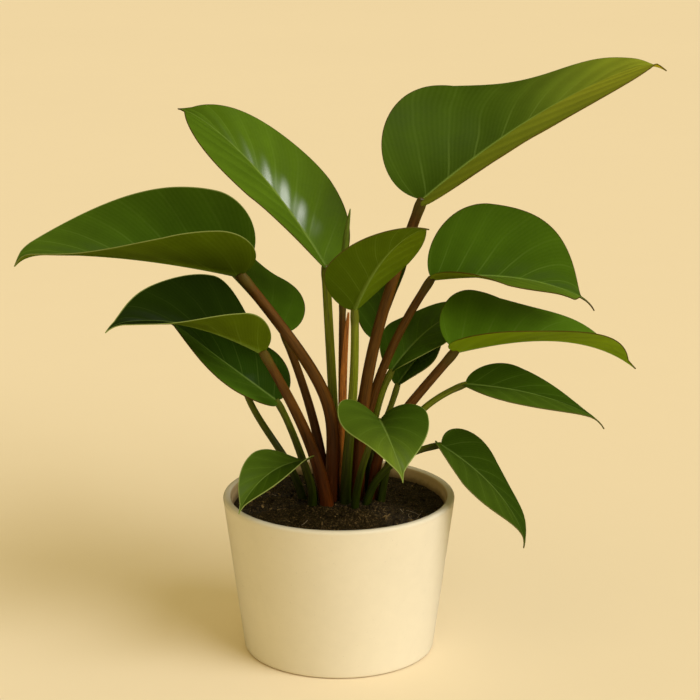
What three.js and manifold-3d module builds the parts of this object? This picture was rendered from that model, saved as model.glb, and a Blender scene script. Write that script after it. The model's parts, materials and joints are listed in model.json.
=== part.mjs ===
// Congo apple philodendron, a clump of pointed leaves on long stems, in a plain round pot.
// Millimetres, +Z up. The origin is the centre of the pot's underside and the viewer stands at -Y.

import * as THREE from 'three';
import { mergeVertices } from 'three/addons/utils/BufferGeometryUtils.js';
import Module from 'manifold-3d';

const wasm = await Module();
wasm.setup();

const degrees = Math.PI / 180;
const { clamp, lerp } = THREE.MathUtils;

// Gap between pieces that touch on the real plant, and between a stem's end and its own blade
const gap = 0.3;
const jointGap = 0.5;
const footHollow = 2.2;

// Pot: a thick wall with a rounded lip, three drainage holes round the middle of its floor
const potHeight = 124;
const rimRadius = 90;
const footRadius = 74;
const potWall = 6.5;
const potFloor = 8;
const lipRound = 3.2;
const footRound = 2.5;
const innerCorner = 6;
const drainHoles = 3;
const drainHoleRadius = 4.5;
const drainCircle = 30;
const potSegments = 40;

// Soil: just under the lip at the wall, mounded round the stems, with shallow lumps
const soilEdge = 113.5;
const soilMound = 6;
const soilLump = 0.7;

// Root crown: the short thick stem that every leaf stem stands on, and its main roots
const crownTop = 97.7;
const crownCentre = [2, 2, 84];
const crownSize = [43, 35, 25];
const mainRoots = 6;
const rootThick = 3.4;
const rootThin = 1.4;

// Leaf blades: thickness, and the depth of the midrib's keel under the base and under the tip
const bladeThickness = 0.8;
const keelAtBase = 1.2;
const keelAtTip = 0.2;

// Colours
const cream = 0xe5cd9c;
const darkSoil = 0x1f1608;
const rootTan = 0x8a6a40;
const redStem = 0x482a06;
const greenStem = 0x54580a;
const sheathOrange = 0x824815;

// One entry for each leaf, largest first. Angles are in degrees: heading turns from +X towards +Y,
// climb is above the level, roll lifts the leaf's left half, and veins lean from the midrib.
const leaves = [
  {
    name: 'leaf_01',
    stem: { root: [14.5, -1.5], rise: 215, bend: [26, 4, 253], joint: [63, 7, 354], thick: 5.5, thin: 4 },
    midrib: { heading: 28, swing: -6, climb: 33, droop: -22, hook: -45, roll: 14, twist: -18 },
    outline: { length: 235, halfWidth: 75, widest: 0.25, shoulder: 0.55, taper: 0.9, end: 0.96 },
    veins: { base: 130, middle: 75, tip: 25 },
    fold: { left: 55, right: 30, tip: 0, curlLeft: -20, curlRight: 15 },
    waves: { left: 9, right: 0, count: 1.6, start: 0.05 },
    colours: { blade: 0x4c5e11, stem: redStem },
  },
  {
    name: 'leaf_02',
    stem: { root: [-2, 20], rise: 165, bend: [-7, 19, 234], joint: [-10, 18, 300], thick: 4, thin: 3.4 },
    midrib: { heading: 139, swing: 4, climb: 48, droop: -30, hook: -15, roll: 0, twist: -14 },
    outline: { length: 188, halfWidth: 50, widest: 0.4, shoulder: 0.6, taper: 1, end: 0.96 },
    veins: { base: 130, middle: 80, tip: 20 },
    fold: { left: 35, right: 20, tip: 15, curlLeft: -5, curlRight: -5 },
    waves: { left: 2, right: 6, count: 1.2, start: 0.2 },
    colours: { blade: 0x556a17, stem: greenStem },
  },
  {
    name: 'leaf_03',
    stem: { root: [-6.5, -2.5], rise: 196, bend: [14, -8, 187], joint: [-74, -9, 300], thick: 6, thin: 4 },
    midrib: { heading: 190, swing: -6, climb: 13, droop: -16, hook: -50, roll: -28, twist: 20 },
    outline: { length: 172, halfWidth: 56, widest: 0.15, shoulder: 0.6, taper: 1, end: 1 },
    veins: { base: 120, middle: 75, tip: 30 },
    fold: { left: 70, right: 70, tip: 20, curlLeft: 15, curlRight: 15 },
    waves: { left: 3, right: 2, count: 1.2, start: 0.05 },
    colours: { blade: 0x3f4d10, stem: redStem },
  },
  {
    name: 'leaf_04',
    stem: { root: [-8, -16], rise: 152, bend: [-34, -23, 202], joint: [-57, -27, 245], thick: 6, thin: 3.5 },
    midrib: { heading: 205, swing: -2, climb: 30, droop: -38, hook: -40, roll: -12, twist: -22 },
    outline: { length: 131, halfWidth: 43, widest: 0.3, shoulder: 0.75, taper: 1.3, end: 0.96 },
    veins: { base: 105, middle: 80, tip: 25 },
    fold: { left: 60, right: 20, tip: 25, curlLeft: 10, curlRight: 20 },
    waves: { left: -2, right: -3, count: 1.9, start: 0.25 },
    colours: { blade: 0x172602, stem: redStem },
  },
  {
    name: 'leaf_05',
    stem: { root: [-17, 3], rise: 123, bend: [-38, 2, 184], joint: [-48, 2, 198], thick: 4, thin: 2.6 },
    midrib: { heading: 163, swing: 4, climb: 33, droop: 4, hook: -10, roll: -24, twist: 26 },
    outline: { length: 112, halfWidth: 33, widest: 0.25, shoulder: 0.65, taper: 1.1, end: 0.92 },
    veins: { base: 130, middle: 80, tip: 25 },
    fold: { left: 30, right: 30, tip: 10, curlLeft: 0, curlRight: 0 },
    waves: { left: 1, right: 2, count: 1.4, start: 0.35 },
    colours: { blade: 0x30350b, stem: greenStem },
  },
  {
    name: 'leaf_06',
    stem: { root: [-9, 10], rise: 153, bend: [-26, 19, 205], joint: [-43, 25, 246], thick: 4.5, thin: 3 },
    midrib: { heading: 146, swing: 8, climb: 43, droop: -14, hook: -10, roll: 6, twist: 20 },
    outline: { length: 113, halfWidth: 42, widest: 0.3, shoulder: 0.65, taper: 1, end: 0.94 },
    veins: { base: 120, middle: 75, tip: 30 },
    fold: { left: 30, right: 35, tip: 15, curlLeft: 0, curlRight: -5 },
    waves: { left: 1, right: 5, count: 1.7, start: 0.2 },
    colours: { blade: 0x33400b, stem: redStem },
  },
  {
    name: 'leaf_07',
    stem: { root: [4.5, -7], rise: 162, bend: [14, -16, 203], joint: [12, -22, 276], thick: 4.8, thin: 3 },
    midrib: { heading: 298, swing: 12, climb: 54, droop: -32, hook: -20, roll: -16, twist: -4 },
    outline: { length: 124, halfWidth: 31, widest: 0.25, shoulder: 0.6, taper: 0.9, end: 0.96 },
    veins: { base: 125, middle: 80, tip: 30 },
    fold: { left: 50, right: 35, tip: 5, curlLeft: -5, curlRight: -15 },
    waves: { left: 0, right: 0, count: 1.6, start: 0.2 },
    colours: { blade: 0x455602, stem: greenStem },
  },
  {
    name: 'leaf_08',
    stem: { root: [13, 9.5], rise: 177, bend: [33, 14, 233], joint: [71, 16, 291], thick: 4.5, thin: 3.2 },
    midrib: { heading: 10, swing: -4, climb: 3, droop: -36, hook: -30, roll: 34, twist: -2 },
    outline: { length: 136, halfWidth: 57, widest: 0.3, shoulder: 0.8, taper: 1.2, end: 0.88 },
    veins: { base: 125, middle: 85, tip: 25 },
    fold: { left: 55, right: 60, tip: 25, curlLeft: -5, curlRight: 0 },
    waves: { left: 4, right: 3, count: 2, start: 0.15 },
    colours: { blade: 0x435b10, stem: redStem },
  },
  {
    name: 'leaf_09',
    stem: { root: [25.5, 0], rise: 166, bend: [34, -2, 171], joint: [89, -3, 239], thick: 4.5, thin: 3.5 },
    midrib: { heading: 9, swing: 18, climb: 10, droop: -50, hook: 0, roll: 14, twist: -28 },
    outline: { length: 159, halfWidth: 47, widest: 0.2, shoulder: 0.55, taper: 1, end: 0.94 },
    veins: { base: 130, middle: 90, tip: 25 },
    fold: { left: 50, right: 50, tip: 20, curlLeft: -10, curlRight: -10 },
    waves: { left: 5, right: 1, count: 1.6, start: 0.15 },
    colours: { blade: 0x3c4a10, stem: redStem },
  },
  {
    name: 'leaf_10',
    stem: { root: [21.5, 12], rise: 143, bend: [25, 17, 187], joint: [41, 20, 217], thick: 3.5, thin: 2.6 },
    midrib: { heading: 38, swing: 2, climb: 43, droop: -52, hook: -20, roll: 26, twist: -2 },
    outline: { length: 94, halfWidth: 26, widest: 0.3, shoulder: 0.8, taper: 0.8, end: 0.96 },
    veins: { base: 120, middle: 75, tip: 25 },
    fold: { left: 40, right: 60, tip: 0, curlLeft: -30, curlRight: -10 },
    waves: { left: 5, right: -1, count: 1.3, start: 0.2 },
    colours: { blade: 0x223203, stem: greenStem },
  },
  {
    name: 'leaf_11',
    stem: { root: [15, 19.5], rise: 138, bend: [34, 28, 159], joint: [46, 34, 202], thick: 3.5, thin: 2.3 },
    midrib: { heading: 43, swing: 0, climb: 41, droop: -24, hook: -20, roll: 16, twist: -14 },
    outline: { length: 81, halfWidth: 22, widest: 0.35, shoulder: 0.8, taper: 1, end: 0.94 },
    veins: { base: 130, middle: 75, tip: 25 },
    fold: { left: 45, right: 35, tip: 25, curlLeft: 5, curlRight: 5 },
    waves: { left: 3, right: -6, count: 1.9, start: -0.2 },
    colours: { blade: 0x232f07, stem: greenStem },
  },
  {
    name: 'leaf_12',
    stem: { root: [31.5, -7.5], rise: 148, bend: [46, 1, 192], joint: [98, 6, 210], thick: 3.5, thin: 2.4 },
    midrib: { heading: -17, swing: 6, climb: 0, droop: -32, hook: -30, roll: 8, twist: -14 },
    outline: { length: 114, halfWidth: 26, widest: 0.25, shoulder: 0.8, taper: 1.1, end: 0.92 },
    veins: { base: 120, middle: 80, tip: 25 },
    fold: { left: 35, right: 20, tip: -5, curlLeft: 5, curlRight: -10 },
    waves: { left: 0, right: -1, count: 0.9, start: -0.2 },
    colours: { blade: 0x37470a, stem: greenStem },
  },
  {
    name: 'leaf_13',
    stem: { root: [19, -11], rise: 140, bend: [42, -12, 160], joint: [78, -13, 167], thick: 4, thin: 2.4 },
    midrib: { heading: -29, swing: 0, climb: -24, droop: -48, hook: -30, roll: 4, twist: -14 },
    outline: { length: 106, halfWidth: 27, widest: 0.3, shoulder: 0.45, taper: 1.3, end: 0.96 },
    veins: { base: 120, middle: 80, tip: 20 },
    fold: { left: 40, right: 40, tip: 0, curlLeft: -10, curlRight: -30 },
    waves: { left: 6, right: 2, count: 1.1, start: 0.3 },
    colours: { blade: 0x3a4a0f, stem: greenStem },
  },
  {
    name: 'leaf_14',
    stem: { root: [11.5, -15], rise: 133, bend: [18, -26, 157], joint: [31, -32, 193], thick: 3.5, thin: 2.4 },
    midrib: { heading: 271, swing: 18, climb: 12, droop: -54, hook: -30, roll: -6, twist: 4 },
    outline: { length: 103, halfWidth: 33, widest: 0.25, shoulder: 0.55, taper: 1.3, end: 0.96 },
    veins: { base: 140, middle: 90, tip: 25 },
    fold: { left: 55, right: 35, tip: 5, curlLeft: -30, curlRight: -10 },
    waves: { left: 0, right: 4, count: 1.6, start: 0.15 },
    colours: { blade: 0x3c5309, stem: greenStem },
  },
  {
    name: 'leaf_15',
    stem: { root: [-21, -14], rise: 124, bend: [-17, -24, 131], joint: [-27, -30, 160], thick: 4.5, thin: 2.6 },
    midrib: { heading: 238, swing: 0, climb: 11, droop: -54, hook: -10, roll: -6, twist: -2 },
    outline: { length: 92, halfWidth: 22, widest: 0.3, shoulder: 0.75, taper: 1.1, end: 0.94 },
    veins: { base: 135, middle: 65, tip: 35 },
    fold: { left: 30, right: -5, tip: 10, curlLeft: 10, curlRight: 35 },
    waves: { left: 2, right: 1, count: 1, start: 0.2 },
    colours: { blade: 0x34420a, stem: greenStem },
  },
  {
    name: 'leaf_16',
    stem: { root: [4.5, 14.5], rise: 147, bend: [18, 22, 197], joint: [29, 26, 241], thick: 4, thin: 2.6 },
    midrib: { heading: 76, swing: 4, climb: 35, droop: -14, hook: -20, roll: -12, twist: -12 },
    outline: { length: 105, halfWidth: 25, widest: 0.35, shoulder: 0.65, taper: 1, end: 0.96 },
    veins: { base: 130, middle: 70, tip: 25 },
    fold: { left: 45, right: 50, tip: 15, curlLeft: 15, curlRight: 20 },
    waves: { left: 5, right: 0, count: 1.9, start: 0.3 },
    colours: { blade: 0x253904, stem: greenStem },
  },
  {
    name: 'leaf_17',
    stem: { root: [-26, -1], rise: 157, bend: [-74, 20, 170], joint: [-78, 38, 220], thick: 3.5, thin: 2.4 },
    midrib: { heading: 150, swing: 6, climb: 30, droop: -30, hook: -10, roll: -14, twist: 26 },
    outline: { length: 90, halfWidth: 26, widest: 0.25, shoulder: 0.65, taper: 1.1, end: 0.92 },
    veins: { base: 130, middle: 80, tip: 25 },
    fold: { left: 30, right: 30, tip: 10, curlLeft: 0, curlRight: 0 },
    waves: { left: 1, right: 2, count: 1.4, start: 0.35 },
    colours: { blade: 0x30350b, stem: greenStem },
  },
];

// The new leaf stands in the middle, still rolled up, on its own red stem
const newLeaf = {
  stem: { root: [3, 4.5], rise: 158, bend: [2, 5, 208], joint: [3, 6, 277], thick: 4, thin: 2.6 },
  tip: [9, 6, 350],
  rollRadius: 2.1,
  rollStep: 0.16,
  colours: { blade: 0x50641c, stem: 0x542c00 },
};

// The dry sheath that wrapped the new leaf leans off its stem as a narrow trough
const sheath = {
  points: [[3.5, -0.6, 98], [4, -0.8, 150], [0.5, 0, 205], [7.5, -2, 269]],
  halfWidth: 3.1,
  hollowRadius: 4.6,
  thickness: 0.8,
};

// Solids

function solidOf(geometry) {
  const bare = geometry.clone();
  bare.deleteAttribute('normal');
  bare.deleteAttribute('uv');
  const merged = mergeVertices(bare, 1e-4);
  const corners = merged.index.array;
  const triangles = [];
  for (let i = 0; i < corners.length; i += 3) {
    const [a, b, c] = corners.subarray(i, i + 3);
    if (a !== b && b !== c && c !== a) triangles.push(a, b, c);
  }
  const vertProperties = new Float32Array(merged.attributes.position.array);
  const triVerts = new Uint32Array(triangles);
  return new wasm.Manifold(new wasm.Mesh({ numProp: 3, vertProperties, triVerts }));
}

function geometryOf(solid) {
  const { vertProperties, triVerts } = solid.getMesh();
  const geometry = new THREE.BufferGeometry();
  geometry.setAttribute('position', new THREE.BufferAttribute(new Float32Array(vertProperties), 3));
  geometry.setIndex(new THREE.BufferAttribute(new Uint32Array(triVerts), 1));
  geometry.computeVertexNormals();
  return geometry;
}

function largestPiece(solid) {
  const pieces = solid.decompose();
  return pieces.reduce((best, piece) => (piece.volume() > best.volume() ? piece : best));
}

// A thin closed sheet. Both faces are split into the same triangles, and a rim joins their edges.
// pointAt(u, v, face) gives a corner, where face is 0 on top and 1 underneath.
function closedSheet(rows, columns, pointAt) {
  const corners = [];
  for (const face of [0, 1]) {
    for (const u of rows) {
      for (const v of columns) corners.push(pointAt(u, v, face));
    }
  }
  const width = columns.length;
  const last = rows.length - 1;
  const below = rows.length * width;
  const at = (i, j) => i * width + j;
  const triangles = [];
  for (let i = 0; i < last; i++) {
    for (let j = 0; j < width - 1; j++) {
      const [a, b, c, d] = [at(i, j), at(i + 1, j), at(i + 1, j + 1), at(i, j + 1)];
      triangles.push(a, b, c, a, c, d);
      triangles.push(below + a, below + c, below + b, below + a, below + d, below + c);
    }
  }
  const edge = [];
  for (let i = 0; i < last; i++) edge.push(at(i, 0));
  for (let j = 0; j < width - 1; j++) edge.push(at(last, j));
  for (let i = last; i > 0; i--) edge.push(at(i, width - 1));
  for (let j = width - 1; j > 0; j--) edge.push(at(0, j));
  edge.forEach((p, k) => {
    const q = edge[(k + 1) % edge.length];
    triangles.push(p, below + p, below + q, p, below + q, q);
  });
  const geometry = new THREE.BufferGeometry().setFromPoints(corners);
  geometry.setIndex(triangles);
  geometry.computeVertexNormals();
  return geometry;
}

// A round rod bent along a curve. radiusAt(t) is its radius, reference a direction across the curve,
// and dome the length of its rounded far end.
function bentRod({ curve, radiusAt, sides, steps, reference, dome = 0, seam = 0 }) {
  const rod = new THREE.CylinderGeometry(1, 1, 1, sides, steps);
  rod.deleteAttribute('uv');
  const { position } = rod.attributes;
  for (let i = 0; i < position.count; i++) {
    const ring = Math.round((position.getY(i) + 0.5) * steps);
    const t = Math.min(ring / (steps - 1), 1);
    const tangent = curve.getTangentAt(t);
    const across = reference.clone().cross(tangent).normalize();
    const over = across.clone().cross(tangent);
    const centre = curve.getPointAt(t);
    let radius = radiusAt(t);
    if (ring === steps) {
      centre.addScaledVector(tangent, dome);
      radius *= 0.55;
    }
    const turn = (Math.atan2(position.getX(i), position.getZ(i)) / (2 * Math.PI) + 1) % 1;
    radius *= 1 + seam * turn;
    centre.addScaledVector(across, position.getX(i) * radius);
    centre.addScaledVector(over, position.getZ(i) * radius);
    position.setXYZ(i, ...centre);
  }
  rod.deleteAttribute('normal');
  const closed = mergeVertices(rod, 1e-4);
  closed.computeVertexNormals();
  return closed;
}

// Leaf stems

function stemRod({ root, rise, bend, joint, thick, thin }, margin = 0) {
  const crownHeight = crownTop + gap - 2 * margin;
  const curve = new THREE.CubicBezierCurve3(
    new THREE.Vector3(root[0], root[1], crownHeight),
    new THREE.Vector3(root[0], root[1], rise),
    new THREE.Vector3(...bend),
    new THREE.Vector3(...joint),
  );
  const radiusAt = (t) => lerp(thin, thick, (1 - t) ** 1.5) + margin;
  const reference = new THREE.Vector3(0, 1, 0);
  return bentRod({ curve, radiusAt, sides: 6, steps: 8, reference, dome: thin * 0.4 });
}

// Leaf blades

const wholeBlade = {
  rows: [0, 0.018, 0.065, 0.14, 0.24, 0.36, 0.48, 0.6, 0.72, 0.83, 0.92, 1],
  columns: [-1, -0.65, -0.3, 0, 0.3, 0.65, 1],
};
const thickFoot = { rows: [0, 0.018, 0.065, 0.14], columns: [-1, -0.3, 0, 0.3, 1], margin: jointGap };

// The midrib starts at the stem's joint and bends as it goes. The result gives, at a share u of its
// length, its place, its direction, and the leaf's left and upper side there.
function midribOf({ stem, midrib, outline }) {
  const headingAt = (u) => (midrib.heading + midrib.swing * u) * degrees;
  const climbAt = (u) => {
    const tip = clamp((u - 0.82) / 0.18, 0, 1);
    return (midrib.climb + midrib.droop * u ** 1.5 + midrib.hook * tip ** 2) * degrees;
  };
  const alongAt = (u) => {
    const level = Math.cos(climbAt(u));
    return new THREE.Vector3(
      level * Math.cos(headingAt(u)),
      level * Math.sin(headingAt(u)),
      Math.sin(climbAt(u)),
    );
  };
  const steps = 240;
  const places = [new THREE.Vector3(...stem.joint)];
  for (let i = 1; i <= steps; i++) {
    const middle = alongAt((i - 0.5) / steps);
    places.push(places[i - 1].clone().addScaledVector(middle, outline.length / steps));
  }
  return (u) => {
    const near = Math.min(Math.floor(u * steps), steps - 1);
    const place = places[near].clone().lerp(places[near + 1], u * steps - near);
    const along = alongAt(u);
    const level = new THREE.Vector3(-Math.sin(headingAt(u)), Math.cos(headingAt(u)), 0);
    const roll = (midrib.roll + midrib.twist * u) * degrees;
    const left = level.applyAxisAngle(along, roll);
    const up = along.clone().cross(left);
    return { place, along, left, up };
  };
}

// The outline widens from the joint to its widest place and narrows to a pointed tip
function halfWidthAt({ halfWidth, widest, shoulder, taper, end }, u) {
  const towardBase = Math.sin((Math.PI / 2) * Math.min(u / widest, 1)) ** shoulder;
  const towardTip = Math.cos((Math.PI / 2) * clamp((u - widest) / (end - widest), 0, 1)) ** taper;
  const brim = 0.6 + 2.4 * Math.sqrt(1 - u) * Math.min(0.4 + u / 0.3, 1);
  return halfWidth * (u < widest ? towardBase : towardTip) + brim;
}

// The side veins lean back at the base, which makes the lobes, and forward at the tip
function veinAngleAt({ base, middle, tip }, u) {
  const lean = u < 0.3 ? lerp(middle, base, (1 - u / 0.3) ** 2) : lerp(middle, tip, (u - 0.3) / 0.7);
  return lean * degrees;
}

// Each half follows its side veins: it leaves the midrib at the fold angle, which fades towards the
// tip, curls by an even amount to the edge, and waves more and more towards the edge.
function bladeGeometry(leaf, { rows, columns, margin = 0 } = wholeBlade) {
  const { outline, veins, fold, waves } = leaf;
  const frameAt = midribOf(leaf);
  return closedSheet(rows, columns, (u, v, face) => {
    const { place, along, left, up } = frameAt(u);
    const isLeft = v >= 0;
    const side = Math.sign(v);
    const width = halfWidthAt(outline, u);
    const reach = (width + margin) * Math.abs(v);
    const vein = veinAngleAt(veins, u);
    const sideways = reach * Math.sin(vein);
    const start = lerp(fold.tip, isLeft ? fold.left : fold.right, (1 - u) ** 2) * degrees;
    const curl = (isLeft ? fold.curlLeft : fold.curlRight) * degrees / outline.halfWidth || 1e-5;
    const slope = start + curl * sideways;
    const lateral = (Math.sin(slope) - Math.sin(start)) / curl;
    const lift = (Math.cos(start) - Math.cos(slope)) / curl;
    const swell = (isLeft ? waves.left : waves.right) * v ** 2 * (width / outline.halfWidth);
    const wave = swell * Math.sin(2 * Math.PI * (waves.count * u + waves.start));
    const normal = up.clone().multiplyScalar(Math.cos(slope));
    normal.addScaledVector(left, -side * Math.sin(slope));
    const isMidrib = v === 0;
    const miter = isMidrib ? 1 / Math.cos(start) : 1;
    const keel = isMidrib ? lerp(keelAtTip, keelAtBase, 1 - u) : 0;
    const depth = face === 0 ? -margin * miter : (bladeThickness + margin) * miter + keel;
    const isPoint = u === 1 || (u === 0 && face === 0);
    return place
      .addScaledVector(along, reach * Math.cos(vein) + margin * (2 * u - 1))
      .addScaledVector(left, side * lateral)
      .addScaledVector(up, lift + wave)
      .addScaledVector(isPoint ? up : normal, -depth);
  });
}

// The stem stops short of its own blade, with a round hollow for the blade's foot at the joint
function stemUnderBlade(leaf) {
  const blade = solidOf(bladeGeometry(leaf, thickFoot));
  const foot = solidOf(new THREE.SphereGeometry(footHollow, 6, 4).translate(...leaf.stem.joint));
  return largestPiece(solidOf(stemRod(leaf.stem)).subtract(blade).subtract(foot));
}

// New leaf and its sheath

function newLeafRoll() {
  const { stem, tip, rollRadius, rollStep } = newLeaf;
  const foot = new THREE.Vector3(...stem.joint).add(new THREE.Vector3(0, 0, stem.thin * 0.4 + gap));
  const end = new THREE.Vector3(...tip);
  const curve = new THREE.QuadraticBezierCurve3(foot, new THREE.Vector3(foot.x, foot.y, 315), end);
  const radiusAt = (t) => rollRadius * (0.8 + 0.5 * t) * (1 - t ** 3) + 0.4;
  const reference = new THREE.Vector3(0, 1, 0);
  return bentRod({ curve, radiusAt, sides: 10, steps: 9, reference, dome: 1, seam: rollStep });
}

function sheathGeometry(margin = 0) {
  const curve = new THREE.CubicBezierCurve3(...sheath.points.map((point) => new THREE.Vector3(...point)));
  const rows = [0, 0.12, 0.25, 0.38, 0.5, 0.62, 0.74, 0.85, 0.94, 1];
  const columns = [-1, -0.5, 0, 0.5, 1];
  return closedSheet(rows, columns, (u, v, face) => {
    const place = curve.getPointAt(u);
    const along = curve.getTangentAt(u);
    const left = new THREE.Vector3(0, 1, 0).cross(along).normalize();
    const up = along.clone().cross(left);
    const width = sheath.halfWidth * Math.sqrt(1 - 0.96 * u ** 3) + margin;
    const angle = (v * width) / sheath.hollowRadius;
    const radius = sheath.hollowRadius + (face === 0 ? -margin : sheath.thickness + margin);
    if (u === 0) place.addScaledVector(along, -2 * margin);
    return place
      .addScaledVector(left, radius * Math.sin(angle))
      .addScaledVector(up, sheath.hollowRadius - radius * Math.cos(angle));
  });
}

// Pot, soil and roots

function turned(profile, curveSteps) {
  const geometry = new THREE.LatheGeometry(profile.getPoints(curveSteps), potSegments);
  return solidOf(geometry.rotateX(Math.PI / 2));
}

// The outer and the inner face slope alike, so the wall keeps its thickness
const wallSlope = (rimRadius - footRadius) / potHeight;
const outerRadiusAt = (height) => footRadius + wallSlope * height;
const innerRadiusAt = (height) => outerRadiusAt(height) - potWall;

function potSolid() {
  const lipInside = rimRadius - potWall;
  const profile = new THREE.Path();
  profile.moveTo(0, 0);
  profile.lineTo(footRadius - footRound, 0);
  profile.quadraticCurveTo(footRadius, 0, outerRadiusAt(footRound), footRound);
  profile.lineTo(outerRadiusAt(potHeight - lipRound), potHeight - lipRound);
  profile.quadraticCurveTo(rimRadius, potHeight, rimRadius - potWall / 2, potHeight);
  profile.quadraticCurveTo(lipInside, potHeight, innerRadiusAt(potHeight - lipRound), potHeight - lipRound);
  profile.lineTo(innerRadiusAt(potFloor + innerCorner), potFloor + innerCorner);
  profile.quadraticCurveTo(innerRadiusAt(potFloor), potFloor, innerRadiusAt(0) - innerCorner, potFloor);
  profile.lineTo(0, potFloor);
  let pot = turned(profile, 3);
  for (let i = 0; i < drainHoles; i++) {
    const angle = (90 + (i * 360) / drainHoles) * degrees;
    const drill = new THREE.CylinderGeometry(drainHoleRadius, drainHoleRadius, 3 * potFloor, 12);
    drill.rotateX(Math.PI / 2);
    drill.translate(drainCircle * Math.cos(angle), drainCircle * Math.sin(angle), potFloor / 2);
    pot = pot.subtract(solidOf(drill));
  }
  return pot;
}

// The soil's top rises in a smooth mound, with lumps from crossed waves that die out at the wall
function soilHeightAt(x, y) {
  const edge = innerRadiusAt(soilEdge);
  const inward = clamp(1 - Math.hypot(x, y) / edge, 0, 1);
  const mound = soilMound * THREE.MathUtils.smoothstep(inward, 0, 0.7);
  const lumps = Math.sin(x / 6.5) * Math.cos(y / 5.5) + Math.sin((x + 2 * y) / 11);
  return soilEdge + mound + soilLump * lumps * Math.min(inward * 6, 1);
}

function soilSolid(holes) {
  const floor = potFloor + gap;
  const profile = new THREE.Path();
  profile.moveTo(0, floor);
  profile.lineTo(innerRadiusAt(0) - innerCorner - gap, floor);
  const corner = floor + innerCorner;
  profile.quadraticCurveTo(innerRadiusAt(floor) - gap, floor, innerRadiusAt(corner) - gap, corner);
  const edge = innerRadiusAt(soilEdge) - gap;
  const rings = [1, 0.9, 0.72, 0.5, 0.28];
  rings.forEach((share) => profile.lineTo(edge * share, soilEdge));
  profile.lineTo(0, soilEdge);
  const geometry = new THREE.LatheGeometry(profile.getPoints(3), potSegments).rotateX(Math.PI / 2);
  const { position } = geometry.attributes;
  for (let i = 0; i < position.count; i++) {
    const [x, y, z] = [position.getX(i), position.getY(i), position.getZ(i)];
    if (z > soilEdge - 0.01) position.setZ(i, soilHeightAt(x, y));
  }
  return holes.reduce((soil, hole) => soil.subtract(hole), solidOf(geometry));
}

// Roots leave the crown evenly all round, each in its own upright plane, and sink as they spread
function crownSolid(margin = 0) {
  const [x, y, z] = crownCentre;
  const body = new THREE.SphereGeometry(1, 14, 8);
  body.scale(crownSize[0] + margin, crownSize[1] + margin, crownSize[2] + margin);
  body.translate(x, y, z);
  let crown = solidOf(body);
  for (let i = 0; i < mainRoots; i++) {
    const angle = ((i + 0.3) * 360 * degrees) / mainRoots;
    const reach = 50 + 6 * (i % 3);
    const end = 22 + 14 * (i % 2);
    const out = (distance, height) =>
      new THREE.Vector3(x + distance * Math.cos(angle), y + distance * Math.sin(angle), height);
    const curve = new THREE.QuadraticBezierCurve3(out(12, z - 8), out(reach, z - 10), out(reach - 6, end));
    const radiusAt = (t) => lerp(rootThick, rootThin, t) + margin;
    const reference = new THREE.Vector3(-Math.sin(angle), Math.cos(angle), 0);
    const root = bentRod({ curve, radiusAt, sides: 5, steps: 5, reference, dome: 1 + margin });
    crown = crown.add(solidOf(root));
  }
  const above = new THREE.BoxGeometry(200, 200, 100).translate(0, 0, crownTop + margin + 50);
  return crown.subtract(solidOf(above));
}

// Assembly

const philodendron = new THREE.Group();
philodendron.name = 'potted_philodendron';

function place(name, geometry, color, roughness) {
  const material = new THREE.MeshStandardMaterial({ name, color, roughness, metalness: 0 });
  const mesh = new THREE.Mesh(geometry, material);
  mesh.name = name;
  philodendron.add(mesh);
}

const stems = [...leaves.map((leaf) => leaf.stem), newLeaf.stem];
const holes = stems.map((stem) => solidOf(stemRod(stem, gap)));
holes.push(solidOf(sheathGeometry(gap)), crownSolid(gap));

place('pot', geometryOf(potSolid()), cream, 0.4);
place('soil', geometryOf(soilSolid(holes)), darkSoil, 0.95);
place('root_crown', geometryOf(crownSolid()), rootTan, 0.8);
for (const leaf of leaves) {
  place(`${leaf.name}_blade`, bladeGeometry(leaf), leaf.colours.blade, 0.35);
  place(`${leaf.name}_stem`, geometryOf(stemUnderBlade(leaf)), leaf.colours.stem, 0.45);
}
place('new_leaf_roll', newLeafRoll(), newLeaf.colours.blade, 0.4);
place('new_leaf_stem', geometryOf(solidOf(stemRod(newLeaf.stem))), newLeaf.colours.stem, 0.45);
place('leaf_sheath', sheathGeometry(), sheathOrange, 0.6);

export default philodendron;
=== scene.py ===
"""Looks of a potted congo apple philodendron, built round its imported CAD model.

Lengths in the tables are millimetres and angles degrees. Everything that reaches Blender is in metres,
in the CAD model's frame: +Z up, the origin under the middle of the pot, the viewer at -Y.
"""

import json

import bpy
import numpy as np
from bpy.props import FloatProperty, FloatVectorProperty, IntProperty, PointerProperty
from bpy.types import Operator, Panel, PropertyGroup
from mathutils import Matrix, Vector


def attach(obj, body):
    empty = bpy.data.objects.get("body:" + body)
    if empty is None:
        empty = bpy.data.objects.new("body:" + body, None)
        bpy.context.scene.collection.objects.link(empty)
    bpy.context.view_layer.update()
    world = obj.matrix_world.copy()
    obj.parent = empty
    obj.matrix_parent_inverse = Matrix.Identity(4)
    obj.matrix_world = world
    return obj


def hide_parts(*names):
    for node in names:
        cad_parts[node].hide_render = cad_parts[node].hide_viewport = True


bl_info = {
    "name": "Potted Philodendron",
    "version": (1, 0, 0),
    "blender": (4, 5, 0),
    "location": "3D View > Sidebar > Philodendron",
    "description": "Dresses the CAD model of a potted philodendron with leaves, stems, soil and a glazed pot",
    "category": "Add Mesh",
}

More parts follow.
